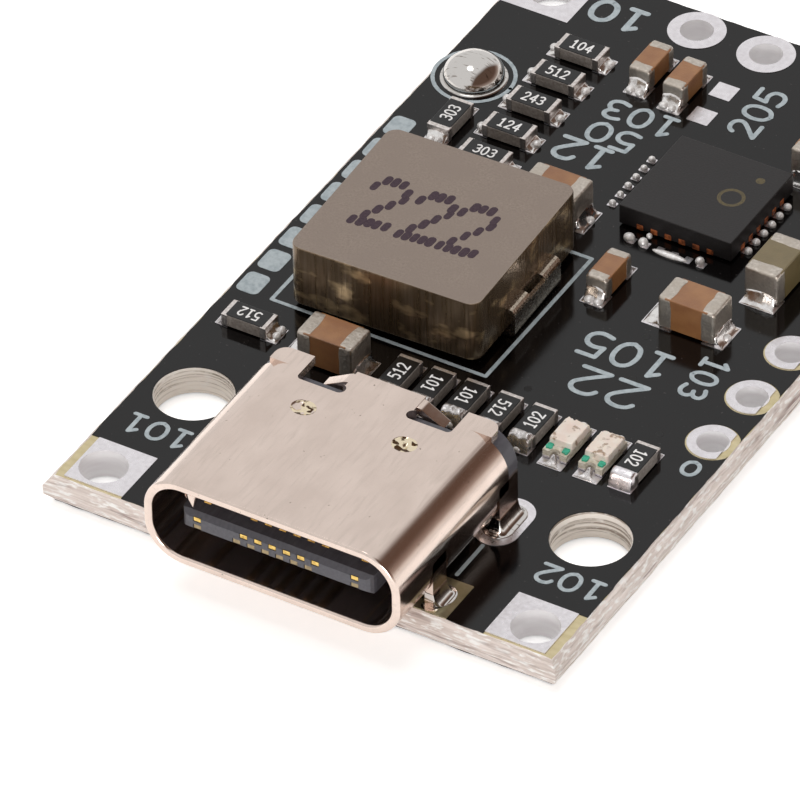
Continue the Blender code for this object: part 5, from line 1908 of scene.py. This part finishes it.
@dataclass
class Studio:
    """The picture's camera, floor, light and surroundings."""

    camera_place: Triple = (0.143078, -0.245325, 0.232025)
    lens: float = 531.87
    sensor: float = 36.0
    right: Triple = (0.8620218, 0.5066355, -0.0154544)
    down: Triple = (0.3129292, -0.5559280, -0.7700775)
    ahead: Triple = (-0.3987401, 0.6589875, -0.6377631)
    lamps: tuple[tuple[str, Triple, float, float, bool], ...] = (
        ("studio_key", (-0.08, 0.06, 0.34), 0.3, 0.62, False),
        ("studio_glint", (-0.08, 0.03, 0.34), 0.09, 0.045, True),
        ("studio_fill", (0.13, -0.3, 0.06), 0.12, 0.36, True))
    mirrored: tuple[tuple[float, Triple], ...] = (
        (0.0, (0.95, 0.93, 0.92)), (0.16, (0.8, 0.74, 0.7)), (0.19, (0.5, 0.42, 0.38)),
        (0.26, (0.36, 0.28, 0.24)), (0.38, (0.22, 0.15, 0.125)), (0.48, (0.125, 0.075, 0.055)),
        (1.0, (0.12, 0.075, 0.055)))
    panel: tuple[float, float, Triple] = (0.14, 0.34, (0.82, 0.82, 0.82))
    soft_light: tuple[str, float] = ("#fffaf5", 0.42)
    floor_half: float = 1.5
    floor_gap: float = 0.00005
    floor_seen: float = 0.5
    floor_mirrored: float = 0.4

    def build(self) -> None:
        """Makes the whole studio."""
        scene = bpy.context.scene
        scene.view_settings.view_transform = "Standard"
        self.build_camera(scene)
        self.build_floor()
        self.build_world(scene)
        for name, place, size, power, mirrored in self.lamps:
            lamp = bpy.data.lights.new(name, "AREA")
            lamp.shape = "DISK"
            lamp.size = size
            lamp.energy = power
            holder = linked(name, lamp)
            holder.location = place
            holder.visible_glossy = mirrored
            holder.rotation_euler = Vector(place).to_track_quat("Z", "Y").to_euler()

    def build_camera(self, scene: bpy.types.Scene) -> None:
        """Places the camera as the photograph's.

        Args:
            scene: The scene that takes it.
        """
        camera = bpy.data.cameras.new("studio_camera")
        camera.sensor_width = self.sensor
        camera.lens = self.lens
        camera.clip_start = 0.01
        camera.clip_end = 10.0
        holder = linked("studio_camera", camera)
        turn = Matrix([[self.right[i], -self.down[i], -self.ahead[i]] for i in range(3)])
        holder.matrix_world = Matrix.Translation(self.camera_place) @ turn.to_4x4()
        scene.camera = holder

    def build_floor(self) -> None:
        """Makes the pale floor that shows white and keeps the shadow."""
        bm = bmesh.new()
        bmesh.ops.create_grid(bm, x_segments=4, y_segments=4, size=self.floor_half)
        floor = linked("studio_floor", as_mesh(bm, "studio_floor"))
        floor.location.z = -self.floor_gap
        paper = bpy.data.materials.new("white_paper_matte")
        paper.use_nodes = True
        tree = paper.node_tree
        shader = tree.nodes["Principled BSDF"]
        shader.inputs["Base Color"].default_value = linear("#f4f3f2")
        shader.inputs["Roughness"].default_value = 0.9
        shader.inputs["Emission Color"].default_value = (1.0, 1.0, 1.0, 1.0)
        rays = add(tree, "ShaderNodeLightPath")
        seen = add(tree, "ShaderNodeMath", {"operation": "MULTIPLY", 1: self.floor_seen},
                   {0: rays.outputs["Is Camera Ray"]})
        glow = add(tree, "ShaderNodeMath",
                   {"operation": "MULTIPLY_ADD", 1: self.floor_mirrored},
                   {0: rays.outputs["Is Glossy Ray"], 2: seen.outputs["Value"]})
        tree.links.new(glow.outputs["Value"], shader.inputs["Emission Strength"])
        floor.data.materials.append(paper)

    def build_world(self, scene: bpy.types.Scene) -> None:
        """Makes the surroundings: white where seen, a darkening room where metal mirrors it.

        Args:
            scene: The scene that takes them.
        """
        world = bpy.data.worlds.new("studio_surround")
        world.use_nodes = True
        tree = world.node_tree
        tree.nodes.clear()
        rays = add(tree, "ShaderNodeLightPath")
        where = add(tree, "ShaderNodeTexCoord")
        axes = add(tree, "ShaderNodeSeparateXYZ", {}, {0: where.outputs["Generated"]})
        ramp = add(tree, "ShaderNodeValToRGB", {}, {0: axes.outputs["Z"]})
        stops = ramp.color_ramp.elements
        while len(stops) < len(self.mirrored):
            stops.new(0.5)
        for stop, (height, light) in zip(stops, self.mirrored):
            stop.position = height
            stop.color = (*light, 1.0)
        start, stop, bright = self.panel
        side = add(tree, "ShaderNodeMapRange", {"From Min": start, "From Max": stop,
                                                "To Min": 1.0, "To Max": 0.0},
                   {"Value": axes.outputs["X"]})
        wall = add(tree, "ShaderNodeMix", {"data_type": "RGBA", 7: (*bright, 1.0)},
                   {0: side.outputs["Result"], 6: ramp.outputs[0]})
        tint, power = self.soft_light
        soft = add(tree, "ShaderNodeBackground", {"Color": linear(tint), "Strength": power})
        room = add(tree, "ShaderNodeBackground", {"Strength": 1.0}, {0: wall.outputs[2]})
        white = add(tree, "ShaderNodeBackground", {"Color": (1.0, 1.0, 1.0, 1.0), "Strength": 1.0})
        lit = add(tree, "ShaderNodeMixShader", {}, {0: rays.outputs["Is Glossy Ray"],
                                                   1: soft.outputs[0], 2: room.outputs[0]})
        seen = add(tree, "ShaderNodeMath", {"operation": "MAXIMUM"},
                   {0: rays.outputs["Is Camera Ray"], 1: rays.outputs["Is Transmission Ray"]})
        mixed = add(tree, "ShaderNodeMixShader", {}, {0: seen.outputs["Value"],
                                                     1: lit.outputs[0], 2: white.outputs[0]})
        add(tree, "ShaderNodeOutputWorld", {}, {0: mixed.outputs[0]})
        scene.world = world


def dress_node(name: str, finish: Finish) -> None:
    """Gives a CAD node that stays its finish.

    Args:
        name: The node.
        finish: Its finish.
    """
    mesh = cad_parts[name].data
    if not mesh.materials:
        mesh.materials.append(finish.material())
    for index in range(len(mesh.materials)):
        mesh.materials[index] = finish.material()


def main() -> None:
    """Builds the module, piece by piece, and the studio round it."""
    logging.basicConfig(level=logging.INFO, format="%(name)s %(message)s")
    Studio().build()
    board = CircuitBoard()
    chip = ChargerChip()
    parts = chip_parts()
    board.build_laminate()
    board.build_mask()
    board.build_lands(chip.pads() + [pad for part in parts for pad in part.pads()])
    board.build_leg_solder()
    board.build_legend()
    board.build_vias()
    SocketShell().build(board.legs)
    PowerInductor().build()
    chip.build()
    for part in parts:
        part.build()
    SolderMound().build()
    dress_node("usb_insulator", POLYMER)
    for index in range(8):
        dress_node(f"usb_contact_upper_{index + 1}", GOLD)
        dress_node(f"usb_contact_lower_{index + 1}", GOLD_PAINTED_SHADE)
    for side in ("left", "right"):
        dress_node(f"inductor_terminal_{side}", STRIP_TIN)


if __name__ == "__main__":
    main()
